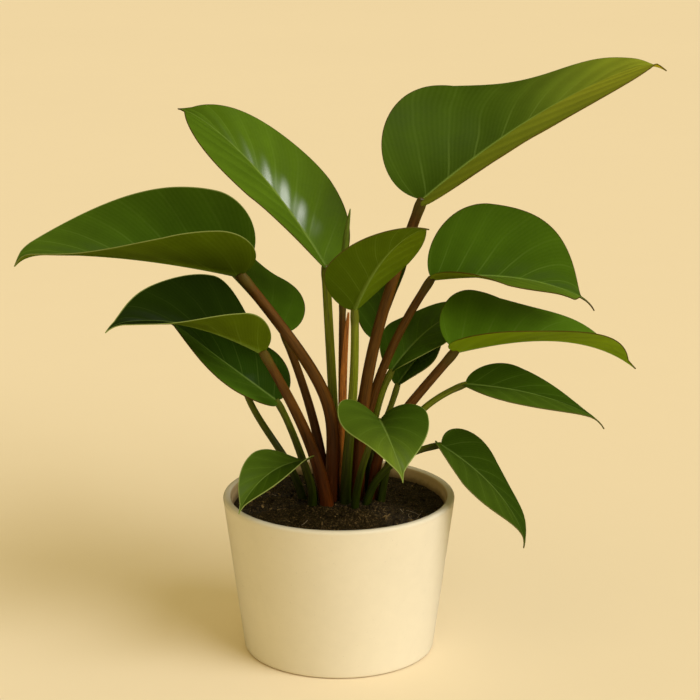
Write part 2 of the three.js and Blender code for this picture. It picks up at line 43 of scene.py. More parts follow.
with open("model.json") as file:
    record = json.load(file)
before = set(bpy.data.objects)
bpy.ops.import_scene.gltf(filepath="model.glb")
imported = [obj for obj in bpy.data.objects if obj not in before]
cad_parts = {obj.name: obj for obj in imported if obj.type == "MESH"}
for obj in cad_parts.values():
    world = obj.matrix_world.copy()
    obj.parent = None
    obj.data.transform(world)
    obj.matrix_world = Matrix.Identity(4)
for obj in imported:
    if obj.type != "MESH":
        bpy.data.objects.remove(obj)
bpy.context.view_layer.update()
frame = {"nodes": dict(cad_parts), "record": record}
SLOT_COLOURS = {entry["slot"]: tuple(entry["base_color"]) for entry in frame["record"]["materials"]}
MM = 0.001

# The values in a leaf's rows, which are the CAD model's own. Heading turns from +X towards +Y, climb is above
# the level, roll lifts the leaf's left half, and veins lean from the midrib.
ROWS = {
    "stem": ("root", "rise", "bend", "joint", "thick", "thin"),
    "midrib": ("heading", "swing", "climb", "droop", "hook", "roll", "twist"),
    "outline": ("length", "half_width", "widest", "shoulder", "taper", "end"),
    "veins": ("base", "middle", "tip"),
    "fold": ("left", "right", "tip", "curl_left", "curl_right"),
    "waves": ("left", "right", "count", "start"),
}
# What a leaf's looks are where its own row gives nothing else: the midrib's width, how bright the tip and the right
# half are, how far the right half's own brightness fades towards the tip, how bright the lower face is, roughness, waxy
# shine, how deep the side veins lie, and how pale the edge is. Each leaf gives its pairs of side veins and its blade's
# shade too. These brightnesses and shades are partly the leaf's own colour and partly painted light and shade, where
# light falls on or misses a half, the tip or the lower face, with painted sheen on the brighter tips.
USUAL_LOOKS = dict(rib=1.5, tip=1.0, right=1.0, fade=0.0, under=1.0, gloss=0.45, wax=0.2, quilt=1.0, pale=0.0)


def leaf_of(name, blade_slot, stem_slot, *rows, **looks):
    """One leaf: its name, its blade's and its stem's slot, a row of values for each of ROWS, and its looks."""
    values = {group: dict(zip(names, row)) for (group, names), row in zip(ROWS.items(), rows)}
    return dict(name=name, blade_slot=blade_slot, stem_slot=stem_slot, looks={**USUAL_LOOKS, **looks}, **values)


LEAVES = [
    leaf_of(
        "leaf_01", "light_leaf", "red_stem", ((14.5, -1.5), 215, (26, 4, 253), (63, 7, 354), 5.5, 4),
        (28, -6, 33, -22, -45, 14, -18), (235, 75, 0.25, 0.55, 0.9, 0.96), (130, 75, 25),
        (55, 30, 0, -20, 15), (9, 0, 1.6, 0.05),
        pairs=9, shade=0.55, tip=3.3, right=2.9, fade=0.65, gloss=0.5, wax=0.0, quilt=1.6,
    ),
    leaf_of(
        "leaf_02", "light_leaf", "green_stem", ((-2, 20), 165, (-7, 19, 234), (-10, 18, 300), 4, 3.4),
        (139, 4, 48, -30, -15, 0, -14), (188, 50, 0.4, 0.6, 1, 0.96), (130, 80, 20),
        (35, 20, 15, -5, -5), (2, 6, 1.2, 0.2),
        pairs=8, rib=2.3, shade=1.0, tip=0.95, gloss=0.24, wax=0.65, quilt=3.6,
    ),
    leaf_of(
        "leaf_03", "green_leaf", "red_stem", ((-6.5, -2.5), 196, (14, -8, 187), (-74, -9, 300), 6, 4),
        (190, -6, 13, -16, -50, -28, 20), (172, 56, 0.15, 0.6, 1, 1), (120, 75, 30),
        (70, 70, 20, 15, 15), (3, 2, 1.2, 0.05),
        pairs=8, shade=0.82, tip=1.25, under=1.05, wax=0.15, quilt=1.2, pale=0.7,
    ),
    leaf_of(
        "leaf_04", "dark_leaf", "red_stem", ((-8, -16), 152, (-34, -23, 202), (-57, -27, 245), 6, 3.5),
        (205, -2, 30, -38, -40, -12, -22), (131, 43, 0.3, 0.75, 1.3, 0.96), (105, 80, 25),
        (60, 20, 25, 10, 20), (-2, -3, 1.9, 0.25),
        pairs=7, shade=0.38, under=1.05, gloss=0.42, wax=0.15, pale=0.8,
    ),
    leaf_of(
        "leaf_05", "dark_leaf", "green_stem", ((-17, 3), 123, (-38, 2, 184), (-48, 2, 198), 4, 2.6),
        (163, 4, 33, 4, -10, -24, 26), (112, 33, 0.25, 0.65, 1.1, 0.92), (130, 80, 25),
        (30, 30, 10, 0, 0), (1, 2, 1.4, 0.35),
        pairs=7, shade=2.3, right=0.4, gloss=0.4, wax=0.3,
    ),
    leaf_of(
        "leaf_06", "dark_leaf", "red_stem", ((-9, 10), 153, (-26, 19, 205), (-43, 25, 246), 4.5, 3),
        (146, 8, 43, -14, -10, 6, 20), (113, 42, 0.3, 0.65, 1, 0.94), (120, 75, 30),
        (30, 35, 15, 0, -5), (1, 5, 1.7, 0.2),
        pairs=7, shade=2.7, wax=0.3,
    ),
    leaf_of(
        "leaf_07", "green_leaf", "green_stem", ((4.5, -7), 162, (14, -16, 203), (12, -22, 276), 4.8, 3),
        (298, 12, 54, -32, -20, -16, -4), (124, 31, 0.25, 0.6, 0.9, 0.96), (125, 80, 30),
        (50, 35, 5, -5, -15), (0, 0, 1.6, 0.2),
        pairs=7, shade=1.0, right=0.7, under=1.45, gloss=0.42, pale=0.2,
    ),
    leaf_of(
        "leaf_08", "green_leaf", "red_stem", ((13, 9.5), 177, (33, 14, 233), (71, 16, 291), 4.5, 3.2),
        (10, -4, 3, -36, -30, 34, -2), (136, 57, 0.3, 0.8, 1.2, 0.88), (125, 85, 25),
        (55, 60, 25, -5, 0), (4, 3, 2, 0.15),
        pairs=8, shade=0.95, right=1.7, under=1.3, wax=0.35, quilt=1.2,
    ),
    leaf_of(
        "leaf_09", "green_leaf", "red_stem", ((25.5, 0), 166, (34, -2, 171), (89, -3, 239), 4.5, 3.5),
        (9, 18, 10, -50, 0, 14, -28), (159, 47, 0.2, 0.55, 1, 0.94), (130, 90, 25),
        (50, 50, 20, -10, -10), (5, 1, 1.6, 0.15),
        pairs=8, shade=1.5, tip=0.9, under=2.7, wax=0.15, quilt=1.2,
    ),
    leaf_of(
        "leaf_10", "dark_leaf", "green_stem", ((21.5, 12), 143, (25, 17, 187), (41, 20, 217), 3.5, 2.6),
        (38, 2, 43, -52, -20, 26, -2), (94, 26, 0.3, 0.8, 0.8, 0.96), (120, 75, 25),
        (40, 60, 0, -30, -10), (5, -1, 1.3, 0.2),
        pairs=6, shade=1.9, under=1.2, gloss=0.4, wax=0.5, quilt=1.2, pale=0.8,
    ),
    leaf_of(
        "leaf_11", "dark_leaf", "green_stem", ((15, 19.5), 138, (34, 28, 159), (46, 34, 202), 3.5, 2.3),
        (43, 0, 41, -24, -20, 16, -14), (81, 22, 0.35, 0.8, 1, 0.94), (130, 75, 25),
        (45, 35, 25, 5, 5), (3, -6, 1.9, -0.2),
        pairs=6, shade=1.5, under=1.2, gloss=0.4, wax=0.45, quilt=1.2, pale=0.4,
    ),
    leaf_of(
        "leaf_12", "green_leaf", "green_stem", ((31.5, -7.5), 148, (46, 1, 192), (98, 6, 210), 3.5, 2.4),
        (-17, 6, 0, -32, -30, 8, -14), (114, 26, 0.25, 0.8, 1.1, 0.92), (120, 80, 25),
        (35, 20, -5, 5, -10), (0, -1, 0.9, -0.2),
        pairs=7, shade=0.7, tip=0.9, right=1.35, pale=0.2,
    ),
    leaf_of(
        "leaf_13", "green_leaf", "green_stem", ((19, -11), 140, (42, -12, 160), (78, -13, 167), 4, 2.4),
        (-29, 0, -24, -48, -30, 4, -14), (106, 27, 0.3, 0.45, 1.3, 0.96), (120, 80, 20),
        (40, 40, 0, -10, -30), (6, 2, 1.1, 0.3),
        pairs=7, shade=0.5, tip=0.95, right=1.3, gloss=0.42, quilt=1.2, pale=0.3,
    ),
    leaf_of(
        "leaf_14", "green_leaf", "green_stem", ((11.5, -15), 133, (18, -26, 157), (31, -32, 193), 3.5, 2.4),
        (271, 18, 12, -54, -30, -6, 4), (103, 33, 0.25, 0.55, 1.3, 0.96), (140, 90, 25),
        (55, 35, 5, -30, -10), (0, 4, 1.6, 0.15),
        pairs=6, shade=0.72, tip=1.9, right=1.4, gloss=0.42, quilt=1.2, pale=1.0,
    ),
    leaf_of(
        "leaf_15", "green_leaf", "green_stem", ((-21, -14), 124, (-17, -24, 131), (-27, -30, 160), 4.5, 2.6),
        (238, 0, 11, -54, -10, -6, -2), (92, 22, 0.3, 0.75, 1.1, 0.94), (135, 65, 35),
        (30, -5, 10, 10, 35), (2, 1, 1, 0.2),
        pairs=6, shade=0.66, tip=1.1, right=1.3, wax=0.1, pale=0.8,
    ),
    leaf_of(
        "leaf_16", "dark_leaf", "green_stem", ((4.5, 14.5), 147, (18, 22, 197), (29, 26, 241), 4, 2.6),
        (76, 4, 35, -14, -20, -12, -12), (105, 25, 0.35, 0.65, 1, 0.96), (130, 70, 25),
        (45, 50, 15, 15, 20), (5, 0, 1.9, 0.3),
        pairs=6, shade=1.5, under=1.2,
    ),
    leaf_of(
        "leaf_17", "dark_leaf", "green_stem", ((-26, -1), 157, (-74, 20, 170), (-78, 38, 220), 3.5, 2.4),
        (150, 6, 30, -30, -10, -14, 26), (90, 26, 0.25, 0.65, 1.1, 0.92), (130, 80, 25),
        (30, 30, 10, 0, 0), (1, 2, 1.4, 0.35),
        pairs=6, shade=0.9, wax=0.3,
    ),
]

# The roll rises straight towards its lean height, then bends over to its tip. Its skin spirals outwards by the
# share roll_step in one turn.
NEW_LEAF = dict(
    stem=dict(root=(3, 4.5), rise=158, bend=(2, 5, 208), joint=(3, 6, 277), thick=4, thin=2.6),
    tip=(8.7, 6, 346.5),
    lean=315,
    roll_radius=2.1,
    roll_step=0.16,
    knee=9.0,
)
SHEATH = dict(
    points=((3.5, -0.6, 98), (4, -0.8, 150), (0.5, 0, 205), (7.5, -2, 269)),
    half_width=3.1,
    hollow_radius=4.6,
    thickness=0.8,
    length=175,
)
# The pot's height, its radii at rim and foot, how thick its wall and floor are, how large its roundings are, and
# the radius at which fans close its floor
POT = dict(height=124, rim=90, foot=74, wall=6.5, floor=8, lip=3.2, foot_round=2.5, corner=6, hub=12)
DRAIN = dict(count=3, radius=4.5, circle=30)
# The soil's height at the pot's wall, its mound and lumps above that, and the gap between soil and pot
SOIL = dict(edge=113.5, mound=6, lump=0.7, gap=0.3)
# Height of the buried crown's top, where the stems start
CROWN_TOP = 98

# Shares of the CAD blade's width and waves that keep smooth crests inside its flat facets
INSIDE, CALM = 0.992, 0.92
# Where the first columns of a blade lie from its midrib, and the last ones from its edge. On a blade narrower
# than FULL_WIDTH they draw together.
NEAR_RIB = np.array([0.45, 1.0, 1.8, 3.0])
NEAR_EDGE = np.array([1.7, 0.8, 0.4, 0.16, 0.04, 0.0])
FULL_WIDTH, LARGEST_HALF_WIDTH = 9, 75
# How far side veins sweep forward, how wide and steep the valley over the midrib is in mm, and how far in from
# its edge a blade is rounded
SWEEP, VALLEY_WIDTH, VALLEY_SLOPE, ROUNDED = 0.2, 1.3, 0.3, 0.55
# The least curl in radians a mm, so that a flat half can be worked out like a curled one
NO_CURL = 1e-5
# Pairs of side veins on the largest leaf
MOST_PAIRS = 9
# Shares of a leaf's length: where its veins turn from leaning back to leaning forward, where its hook starts,
# and its drip tip
VEIN_TURN, HOOK_START, DRIP = 0.3, 0.82, 0.1
# A stem's dome as a share of its end radius, and the rings of any dome
STEM_DOME, DOME_RINGS = 0.4, 5
# How much thicker a stem is in its knee, how much thinner right under its blade, and for how many mm
KNEE_SWELL, NECK, NECK_LENGTH = 0.1, 0.06, 1.5

# The lower face's midrib in mm, the body's green at which veins have their full colour, and the limit to which a
# brighter tone, partly painted light and sheen, turns yellower
UNDER_RIB, FULL_GREEN, MOST_YELLOW = 1.9, 0.075, 1.72
# Where a leaf takes on its tip's tone and painted sheen, in shares of its length, and its right half's painted light
# and shade, in mm to the right of its midrib
TIP_TONE_AND_SHEEN, PAINTED_HALF_LIGHT = (0.3, 0.95), (-2.0, 2.0)
# In metres: the heights over which a stem's foot tint, partly painted shade, fades, the pot's unglazed foot, the radii
# over which the painted shade on its inner wall ends, and the heights where that painted shade starts, its soil dust
# ends and its lip turns glossy
STEM_FOOT_SHADE = (0.12, 0.235)
BARE_FOOT, INNER_EDGE = (0.0003, 0.0014), (0.0838, 0.0846)
INNER_SHADE_HEIGHTS, DUST_LINE, GLOSSY_LIP = (0.104, 0.108), (0.1165, 0.1225), (0.1195, 0.1225)
WHITE = (1.0, 1.0, 1.0, 1.0)

# The stage, in metres
KEY_FROM = (1.5, -1.15, 1.35)
SOFTBOX_AT, SOFTBOX_TARGET, SOFTBOX_COLOUR = (0.5, -0.07, 1.65), (0.0, 0.0, 0.3), (1.0, 0.99, 0.97)
CAMERA_TARGET = (0.0086, 0, 0.2388)


# Sizes and colours


def length(name, description, default, low=0.0, high=1.0):
    """A size in metres."""
    return FloatProperty(
        name=name, description=description, default=default, min=low, max=high, precision=5, unit="LENGTH"
    )


def colour(name, description, default):
    """A linear colour."""
    return FloatVectorProperty(
        name=name, description=description, default=default, subtype="COLOR", size=3, min=0.0, max=1.0
    )


def angle(name, description, degrees):
    """An angle in radians."""
    return FloatProperty(name=name, description=description, default=np.radians(degrees), subtype="ANGLE")


class LeafSettings(PropertyGroup):
    thickness: length("Blade Thickness", "Thickness of a leaf blade away from its midrib", 0.8 * MM)
    quilting: length("Quilting", "Depth of the side veins on a leaf of the largest size", 0.5 * MM)
    keel_width: length("Keel Width", "Half width of the rounded rib under the midrib", 2.4 * MM)
    light_leaf: colour("Light Leaf", "Blade colour of the youngest, lightest leaves", (0.078, 0.15, 0.006))
    green_leaf: colour("Green Leaf", "Blade colour of most leaves", (0.05, 0.105, 0.004))
    dark_leaf: colour("Dark Leaf", "Blade colour of the oldest, darkest leaves", (0.028, 0.06, 0.003))
    vein: colour("Vein", "Colour of the midrib on the upper face", (0.2, 0.3, 0.06))
    underside: colour("Underside", "Colour of the paler, duller lower face", (0.08, 0.128, 0.002))
    margin: colour("Margin", "Colour of the thin reddish edge of most leaves", (0.06, 0.02, 0.006))
    pale_margin: colour("Pale Margin", "Colour of the thin edge of the palest leaves", (0.26, 0.33, 0.09))
    rolled_leaf: colour("Rolled Leaf", "Colour of the new leaf while it is rolled up", (0.12, 0.17, 0.012))
    rolled_streak: colour("Rolled Streak", "Colour of the streaks along the rolled leaf", (0.06, 0.09, 0.006))


class StemSettings(PropertyGroup):
    red_stem: colour("Red Stem", "Colour of the large leaves' stems", (0.125, 0.05, 0.005))
    green_stem: colour("Green Stem", "Colour of the small leaves' stems", (0.2, 0.24, 0.007))
    # The foot tints are painted shade near the soil, and on red stems their own redder colour too.
    red_foot: colour("Red Foot", "Tint of a red stem near the soil", (0.85, 0.45, 0.35))
    green_foot: colour("Green Foot", "Tint of a green stem near the soil", (0.12, 0.17, 0.14))
    knee: colour("Knee", "Colour of the short bend where a stem meets its blade", (0.09, 0.095, 0.01))
    knee_length: length("Knee Length", "Length of the slightly swollen bend under a blade", 11 * MM)
    dry_sheath: colour("Dry Sheath", "Colour of the papery sheath", (0.5, 0.17, 0.02))
    sheath_streak: colour("Sheath Streak", "Colour of the streaks along the sheath", (0.09, 0.028, 0.006))


class PotSettings(PropertyGroup):
    cream_glaze: colour("Cream Glaze", "Colour of the satin glaze", (0.765, 0.715, 0.575))
    # Painted shade: a warm brown over the inner wall stands in for the shade inside the pot.
    painted_inner_shade: colour("Inner Glaze", "Colour of the warmer glaze inside the lip", (0.55, 0.37, 0.14))
    dust: colour("Dust", "Colour of the soil dust on the inner wall", (0.1, 0.06, 0.02))
    bare_foot: colour("Bare Foot", "Colour of the unglazed underside", (0.55, 0.42, 0.26))


class SoilSettings(PropertyGroup):
    soil: colour("Soil", "Colour of the damp potting mix", SLOT_COLOURS["potting_soil"])
    bark: colour("Bark", "Colour of the light flecks of bark and fibre", (0.33, 0.22, 0.09))
    relief: length("Relief", "Height of the lumps on the soil", 2.2 * MM)
    crumb: length("Crumb Size", "Radius of the largest loose crumbs", 2.0 * MM)
    crumbs: IntProperty(name="Crumbs", description="Number of loose crumbs", default=2600, min=1, max=6000)
    rootlets: IntProperty(name="Rootlets", description="Number of loose rootlets", default=9, min=1, max=50)
    rootlet: colour("Rootlet", "Colour of the dry rootlets", (0.5, 0.4, 0.28))
    rootlet_streak: colour("Rootlet Streak", "Colour of the streaks along the rootlets", (0.3, 0.2, 0.12))


class StageSettings(PropertyGroup):
    floor: colour("Floor", "Colour of the plain floor", (0.888, 0.78, 0.575))
    distance: length("Camera Distance", "From the camera to the point that it looks at", 1.7, 0.2, 10.0)
    camera_tilt: angle("Camera Tilt", "How far the camera looks down", 15.2)
    lens: FloatProperty(name="Lens", description="Focal length in millimetres", default=114.68, min=10, max=300)
    key_light: FloatProperty(name="Key Light", description="Strength of the soft light from the right", default=2.25)
    key_angle: angle("Key Angle", "How wide the soft light from the right is", 46)
    key_colour: colour("Key Colour", "Colour of the soft light from the right", (1.0, 0.985, 1.0))
    fill_light: FloatProperty(name="Fill Light", description="Strength of the even light all round", default=0.6)
    fill_colour: colour("Fill Colour", "Colour of the even light all round", (1.0, 0.8, 0.38))
    softbox: FloatProperty(name="Softbox", description="Power of the overhead softbox in watts", default=9.0)
    softbox_size: length("Softbox Size", "Width of the overhead softbox", 0.42)


class PhilodendronSettings(PropertyGroup):
    leaves: PointerProperty(type=LeafSettings)
    stems: PointerProperty(type=StemSettings)
    pot: PointerProperty(type=PotSettings)
    soil: PointerProperty(type=SoilSettings)
    stage: PointerProperty(type=StageSettings)


# Curves and noise


def smoothstep(low, high, value):
    """0 below low, 1 above high, and a smooth S between them."""
    share = np.clip((value - low) / (high - low), 0, 1)
    return share * share * (3 - 2 * share)


def lerp(a, b, share):
    """a at share 0, b at share 1, and a straight line between them."""
    return a + (b - a) * share


def unit(vectors):
    """The vectors at length 1."""
    return vectors / np.maximum(np.linalg.norm(vectors, axis=-1, keepdims=True), 1e-12)


def bezier(points, count):
    """count places and directions evenly spaced along a Bezier curve.

    Each place is a weighted sum of the control points, with the Bernstein weights n!/(k!(n-k)!) t^k (1-t)^(n-k).
    The parameter t is spaced so that equal steps have equal lengths along the curve.
    """
    points = np.array(points, float)
    degree = len(points) - 1
    choose = {2: (1, 2, 1), 3: (1, 3, 3, 1)}[degree]

    def at(t):
        """The places on the curve at the parameters t."""
        weights = [c * t**k * (1 - t) ** (degree - k) for k, c in enumerate(choose)]
        return np.stack(weights, -1) @ points

    fine = np.linspace(0, 1, 801)
    travelled = np.insert(np.cumsum(np.linalg.norm(np.diff(at(fine), axis=0), axis=1)), 0, 0.0)
    t = np.interp(np.linspace(0, travelled[-1], count), travelled, fine)
    step = 1e-4
    return at(t), unit(at(np.minimum(t + step, 1)) - at(np.maximum(t - step, 0)))


def noise(x, y, seed):
    """Smooth random heights from 0 to 1: random values on a square grid, blended by an S curve in each cell."""
    cells = 128
    table = np.random.default_rng(seed).random((cells, cells))
    column, row = np.floor(x).astype(int), np.floor(y).astype(int)
    across, up = smoothstep(0, 1, x - column), smoothstep(0, 1, y - row)

    def corner(i, j):
        """The random values at one corner of the cells."""
        return table[(row + j) % cells, (column + i) % cells]

    return lerp(lerp(corner(0, 0), corner(1, 0), across), lerp(corner(0, 1), corner(1, 1), across), up)


# Meshes


def grid_faces(rows, columns, wrap):
    """Four-sided faces between neighbours on a grid of points, whose last column joins the first if it wraps."""
    i = np.arange(rows - 1)[:, None]
    j = np.arange(columns if wrap else columns - 1)[None, :]
    after = (j + 1) % columns
    corners = (i * columns + j, i * columns + after, (i + 1) * columns + after, (i + 1) * columns + j)
    return np.stack(np.broadcast_arrays(*corners), -1).reshape(-1, 4)


def volume_of(points, faces):
    """Enclosed volume, positive where the faces point outwards: the sum of the tetrahedra to the origin."""
    first, *rest = (points[faces[:, k]] for k in range(faces.shape[1]))
    return sum((first * np.cross(b, c)).sum() for b, c in zip(rest, rest[1:])) / 6


def capped(values):
    """One value for each point of a tube, with its end rings' first and last values for the two middles."""
    return np.concatenate([values, values[:1], values[-1:]])


def outward(points, face_sets):
    """The face sets, all turned over if together they enclose a negative volume."""
    if sum(volume_of(points, faces) for faces in face_sets) < 0:
        return [faces[:, ::-1] for faces in face_sets]
    return face_sets


def link_new(name, data):
    """A new object in the scene."""
    thing = bpy.data.objects.new(name, data)
    bpy.context.scene.collection.objects.link(thing)
    return thing


def add_piece(name, points, face_sets, materials, stands_for=(), values=None, face_material=None):
    """Makes a closed, smooth-shaded mesh from arrays of three- and four-sided faces, as a piece of the object.

    values holds one array for each named attribute, with one entry or one vector a point.
    """
    face_sets = outward(points, face_sets)
    mesh = bpy.data.meshes.new(name)
    corners = np.concatenate([faces.ravel() for faces in face_sets])
    sizes = np.concatenate([np.full(len(faces), faces.shape[1]) for faces in face_sets])
    mesh.vertices.add(len(points))
    mesh.vertices.foreach_set("co", np.asarray(points, np.float32).ravel())
    mesh.loops.add(len(corners))
    mesh.loops.foreach_set("vertex_index", corners.astype(np.int32))
    mesh.polygons.add(len(sizes))
    mesh.polygons.foreach_set("loop_start", np.insert(np.cumsum(sizes)[:-1], 0, 0).astype(np.int32))
    for key, data in (values or {}).items():
        data = np.asarray(data, np.float32)
        kind, field = ("FLOAT_VECTOR", "vector") if data.ndim == 2 else ("FLOAT", "value")
        mesh.attributes.new(key, kind, "POINT").data.foreach_set(field, data.ravel())
    for material in materials:
        mesh.materials.append(material)
    if face_material is not None:
        mesh.polygons.foreach_set("material_index", face_material.astype(np.int32))
    mesh.update(calc_edges=True)
    mesh.shade_smooth()
    if mesh.validate():
        raise RuntimeError(f"the mesh of {name} has broken faces")
    piece = link_new(name, mesh)
    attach(piece, "root")
    if stands_for:
        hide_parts(*stands_for)
    return piece


def closed_tube(rings):
    """Points and faces of a tube through rings of points, closed at both ends by a fan from its end ring's middle."""
    rows, columns = rings.shape[:2]
    points = np.concatenate([rings.reshape(-1, 3), [rings[0].mean(0)], [rings[-1].mean(0)]])
    j = np.arange(columns)
    after = (j + 1) % columns
    first, last, base = rows * columns, rows * columns + 1, (rows - 1) * columns
    near = np.stack([np.full(columns, first), after, j], -1)
    far = np.stack([np.full(columns, last), base + j, base + after], -1)
    return points, [grid_faces(rows, columns, True), np.concatenate([near, far])]


# Shapes


def sides_of(along):
    """Across and upright directions for each direction along a curve: square to it, and the first square to Y."""
    across = unit(np.cross(np.array([0.0, 1.0, 0.0]), along))
    return across, np.cross(across, along)


def midrib_of(leaf, u):
    """Place, direction, left side and upper side of a leaf's midrib at the shares u of its length.

    Heading and climb change along the midrib, and the place is the joint plus the sum of short steps in
    their direction. The left side is level, then turned about the direction by the roll and the twist.
    """
    rib, span = leaf["midrib"], leaf["outline"]["length"]

    def direction(share):
        """The midrib's directions, from its heading and climb there."""
        heading = np.radians(rib["heading"] + rib["swing"] * share)
        tip = np.clip((share - HOOK_START) / (1 - HOOK_START), 0, 1)
        climb = np.radians(rib["climb"] + rib["droop"] * share**1.5 + rib["hook"] * tip**2)
        return np.stack([np.cos(climb) * np.cos(heading), np.cos(climb) * np.sin(heading), np.sin(climb)], -1)

    steps = 240
    marks = np.linspace(0, 1, steps + 1)
    walk = np.cumsum(direction((marks[1:] + marks[:-1]) / 2) * span / steps, axis=0)
    walk = np.array(leaf["stem"]["joint"], float) + np.insert(walk, 0, 0, axis=0)
    place = np.stack([np.interp(u, marks, walk[:, k]) for k in range(3)], -1)
    along = direction(u)
    heading = np.radians(rib["heading"] + rib["swing"] * u)
    level = np.stack([-np.sin(heading), np.cos(heading), np.zeros_like(u)], -1)
    turn = np.radians(rib["roll"] + rib["twist"] * u)[:, None]
    left = level * np.cos(turn) + np.cross(along, level) * np.sin(turn)
    return place, along, left, np.cross(along, left)


def half_width(outline, u):
    """Half width of a blade at u: a sine rise from the joint to the widest place, a cosine fall to the tip.

    A narrow brim is added, which shrinks towards the joint and the tip.
    """
    rise = np.sin(np.pi / 2 * np.minimum(u / outline["widest"], 1)) ** outline["shoulder"]
    share = np.clip((u - outline["widest"]) / (outline["end"] - outline["widest"]), 0, 1)
    fall = np.cos(np.pi / 2 * share) ** outline["taper"]
    brim = 0.6 + 2.4 * np.sqrt(1 - u) * np.minimum(0.4 + u / 0.3, 1)
    return outline["half_width"] * np.where(u < outline["widest"], rise, fall) + brim


def pointed(outline, u):
    """Half width with the drip tip drawn out to a point, as the power 1.15 of what is left of it."""
    left = np.clip((1 - u) / DRIP, 0, 1)
    drip = half_width(outline, np.float64(1 - DRIP)) * left**1.15 + 0.3 * (1 - left)
    return np.where(u > 1 - DRIP, drip, half_width(outline, u))


def blade_surface(leaf, settings, rows=120, middle=17):
    """Points of a closed blade in mm, its faces, and the values that its finish follows.

    A row crosses the blade along its side veins, which lean back at the base and forward at the tip. From
    the midrib outwards a half leaves at the fold angle, curls evenly and waves towards its edge. It sinks a
    little at each side vein and in a valley along the midrib. The lower face lies a blade's thickness under
    the upper one, rounds up to meet it in an elliptic edge, and bulges under the midrib in a keel.
    """
    outline, veins, fold, waves, looks = (leaf[key] for key in ("outline", "veins", "fold", "waves", "looks"))
    u = (1 - np.cos(np.pi * np.linspace(0, 1, rows))) / 2
    t = u[:, None]
    place, along, left, up = midrib_of(leaf, u)
    width = INSIDE * pointed(outline, u)[:, None]
    small = np.minimum(width / FULL_WIDTH, 1)
    near, rim = small * NEAR_RIB, width - small * NEAR_EDGE
    between = lerp(near[:, -1:], rim[:, :1], np.linspace(0, 1, middle)[1:-1])
    out = np.concatenate([near, between, rim], 1)
    offset = np.concatenate([-out[:, ::-1], np.zeros((rows, 1)), out], 1)
    reach, side, is_left = np.abs(offset), np.sign(offset), offset >= 0
    share = reach / width

    back = lerp(veins["middle"], veins["base"], (1 - np.minimum(t / VEIN_TURN, 1)) ** 2)
    forth = lerp(veins["middle"], veins["tip"], (t - VEIN_TURN) / (1 - VEIN_TURN))
    vein = np.radians(np.where(t < VEIN_TURN, back, forth))
    sideways = reach * np.sin(vein)
    start = np.radians(lerp(fold["tip"], np.where(is_left, fold["left"], fold["right"]), (1 - t) ** 2))
    curl = np.radians(np.where(is_left, fold["curl_left"], fold["curl_right"])) / outline["half_width"]
    curl = np.where(np.abs(curl) < NO_CURL, NO_CURL, curl)
    slope = start + curl * sideways
    lateral = (np.sin(slope) - np.sin(start)) / curl
    swing = CALM * np.where(is_left, waves["left"], waves["right"]) * share**2 * width / outline["half_width"]
    lift = (np.cos(start) - np.cos(slope)) / curl
    lift = lift + swing * np.sin(2 * np.pi * (waves["count"] * t + waves["start"]))

    phase = looks["pairs"] * (t - SWEEP * share**0.8)
    depth = settings.quilting / MM * looks["quilt"] * outline["half_width"] / LARGEST_HALF_WIDTH
    depth = depth * np.sin(np.pi * share) ** 0.8 * np.sin(np.pi * np.clip(t * 1.04, 0, 1)) ** 0.5
    puff = depth * (np.abs(np.sin(np.pi * phase)) - 1.0)
    valley = small * VALLEY_WIDTH
    valley_lift = VALLEY_SLOPE * valley * np.tan(start) * np.maximum(1 - reach / valley, 0) ** 2

    def blend(a, b, c):
        """The sum of a along the midrib, b to its left and c up from it."""
        return a[..., None] * along[:, None] + b[..., None] * left[:, None] + c[..., None] * up[:, None]

    surface = place[:, None] + blend(reach * np.cos(vein), side * lateral, lift)
    thick, keel_width = settings.thickness / MM, settings.keel_width / MM
    toward = smoothstep(0, 1, reach / (keel_width * small * lerp(0.45, 1.0, (1 - t) ** 0.7)))
    normal = unit(blend(0 * reach, -side * np.sin(slope) * toward, lerp(1.0, np.cos(slope), toward)))
    to_edge = np.minimum((width - reach) / (ROUNDED * small), 1)
    body = thick * np.sqrt(np.clip(1 - (1 - to_edge) ** 2, 0, 1))
    keel = (lerp(0.2, 1.2, 1 - t) + thick * (1 / np.cos(start) - 1)) * (1 - toward)
    top = surface + normal * (puff - (thick - body) / 2)[..., None] + up[:, None] * valley_lift[..., None]
    low = surface + normal * (puff - (thick + body) / 2 - keel)[..., None]

    ring = np.concatenate([top, low[:, -2:0:-1]], 1)
    count, last = ring.shape[1], offset.shape[1] - 1
    faces = grid_faces(rows, count, True)
    j = np.arange(1, last - 1)
    cap = np.stack([j, j + 1, count - j - 1, count - j], -1)
    ends = np.array([[0, 1, count - 1], [last - 1, last, last + 1]])
    far = (rows - 1) * count
    lower_face = (np.arange(len(faces)) % count) >= last
    face_material = np.concatenate([lower_face, np.zeros(2 * (len(cap) + len(ends)))])

    def around(value):
        """A value of the upper points, given to the lower points under them too."""
        value = np.broadcast_to(value, offset.shape)
        return np.concatenate([value, value[:, -2:0:-1]], 1).ravel()

    # Painted light and shade: the tone brightens or darkens one half of the blade where light falls on it or misses it,
    # and changes the tip's brightness, partly its own paler colour, partly painted sheen.
    tip_tone_and_sheen = smoothstep(*TIP_TONE_AND_SHEEN, t)
    painted_half_share = smoothstep(*PAINTED_HALF_LIGHT, -offset) * (1 - looks["fade"] * tip_tone_and_sheen)
    tone = 1 + (looks["tip"] - 1) * tip_tone_and_sheen + (looks["right"] - 1) * painted_half_share
    values = dict(along=t, phase=phase, across=offset, edge=width - reach, tone=tone)
    values = {key: around(value) for key, value in values.items()}
    sets = [np.concatenate([faces, cap[:, ::-1], far + cap]), np.concatenate([ends[:, ::-1], far + ends])]
    return ring.reshape(-1, 3), sets, values, face_material


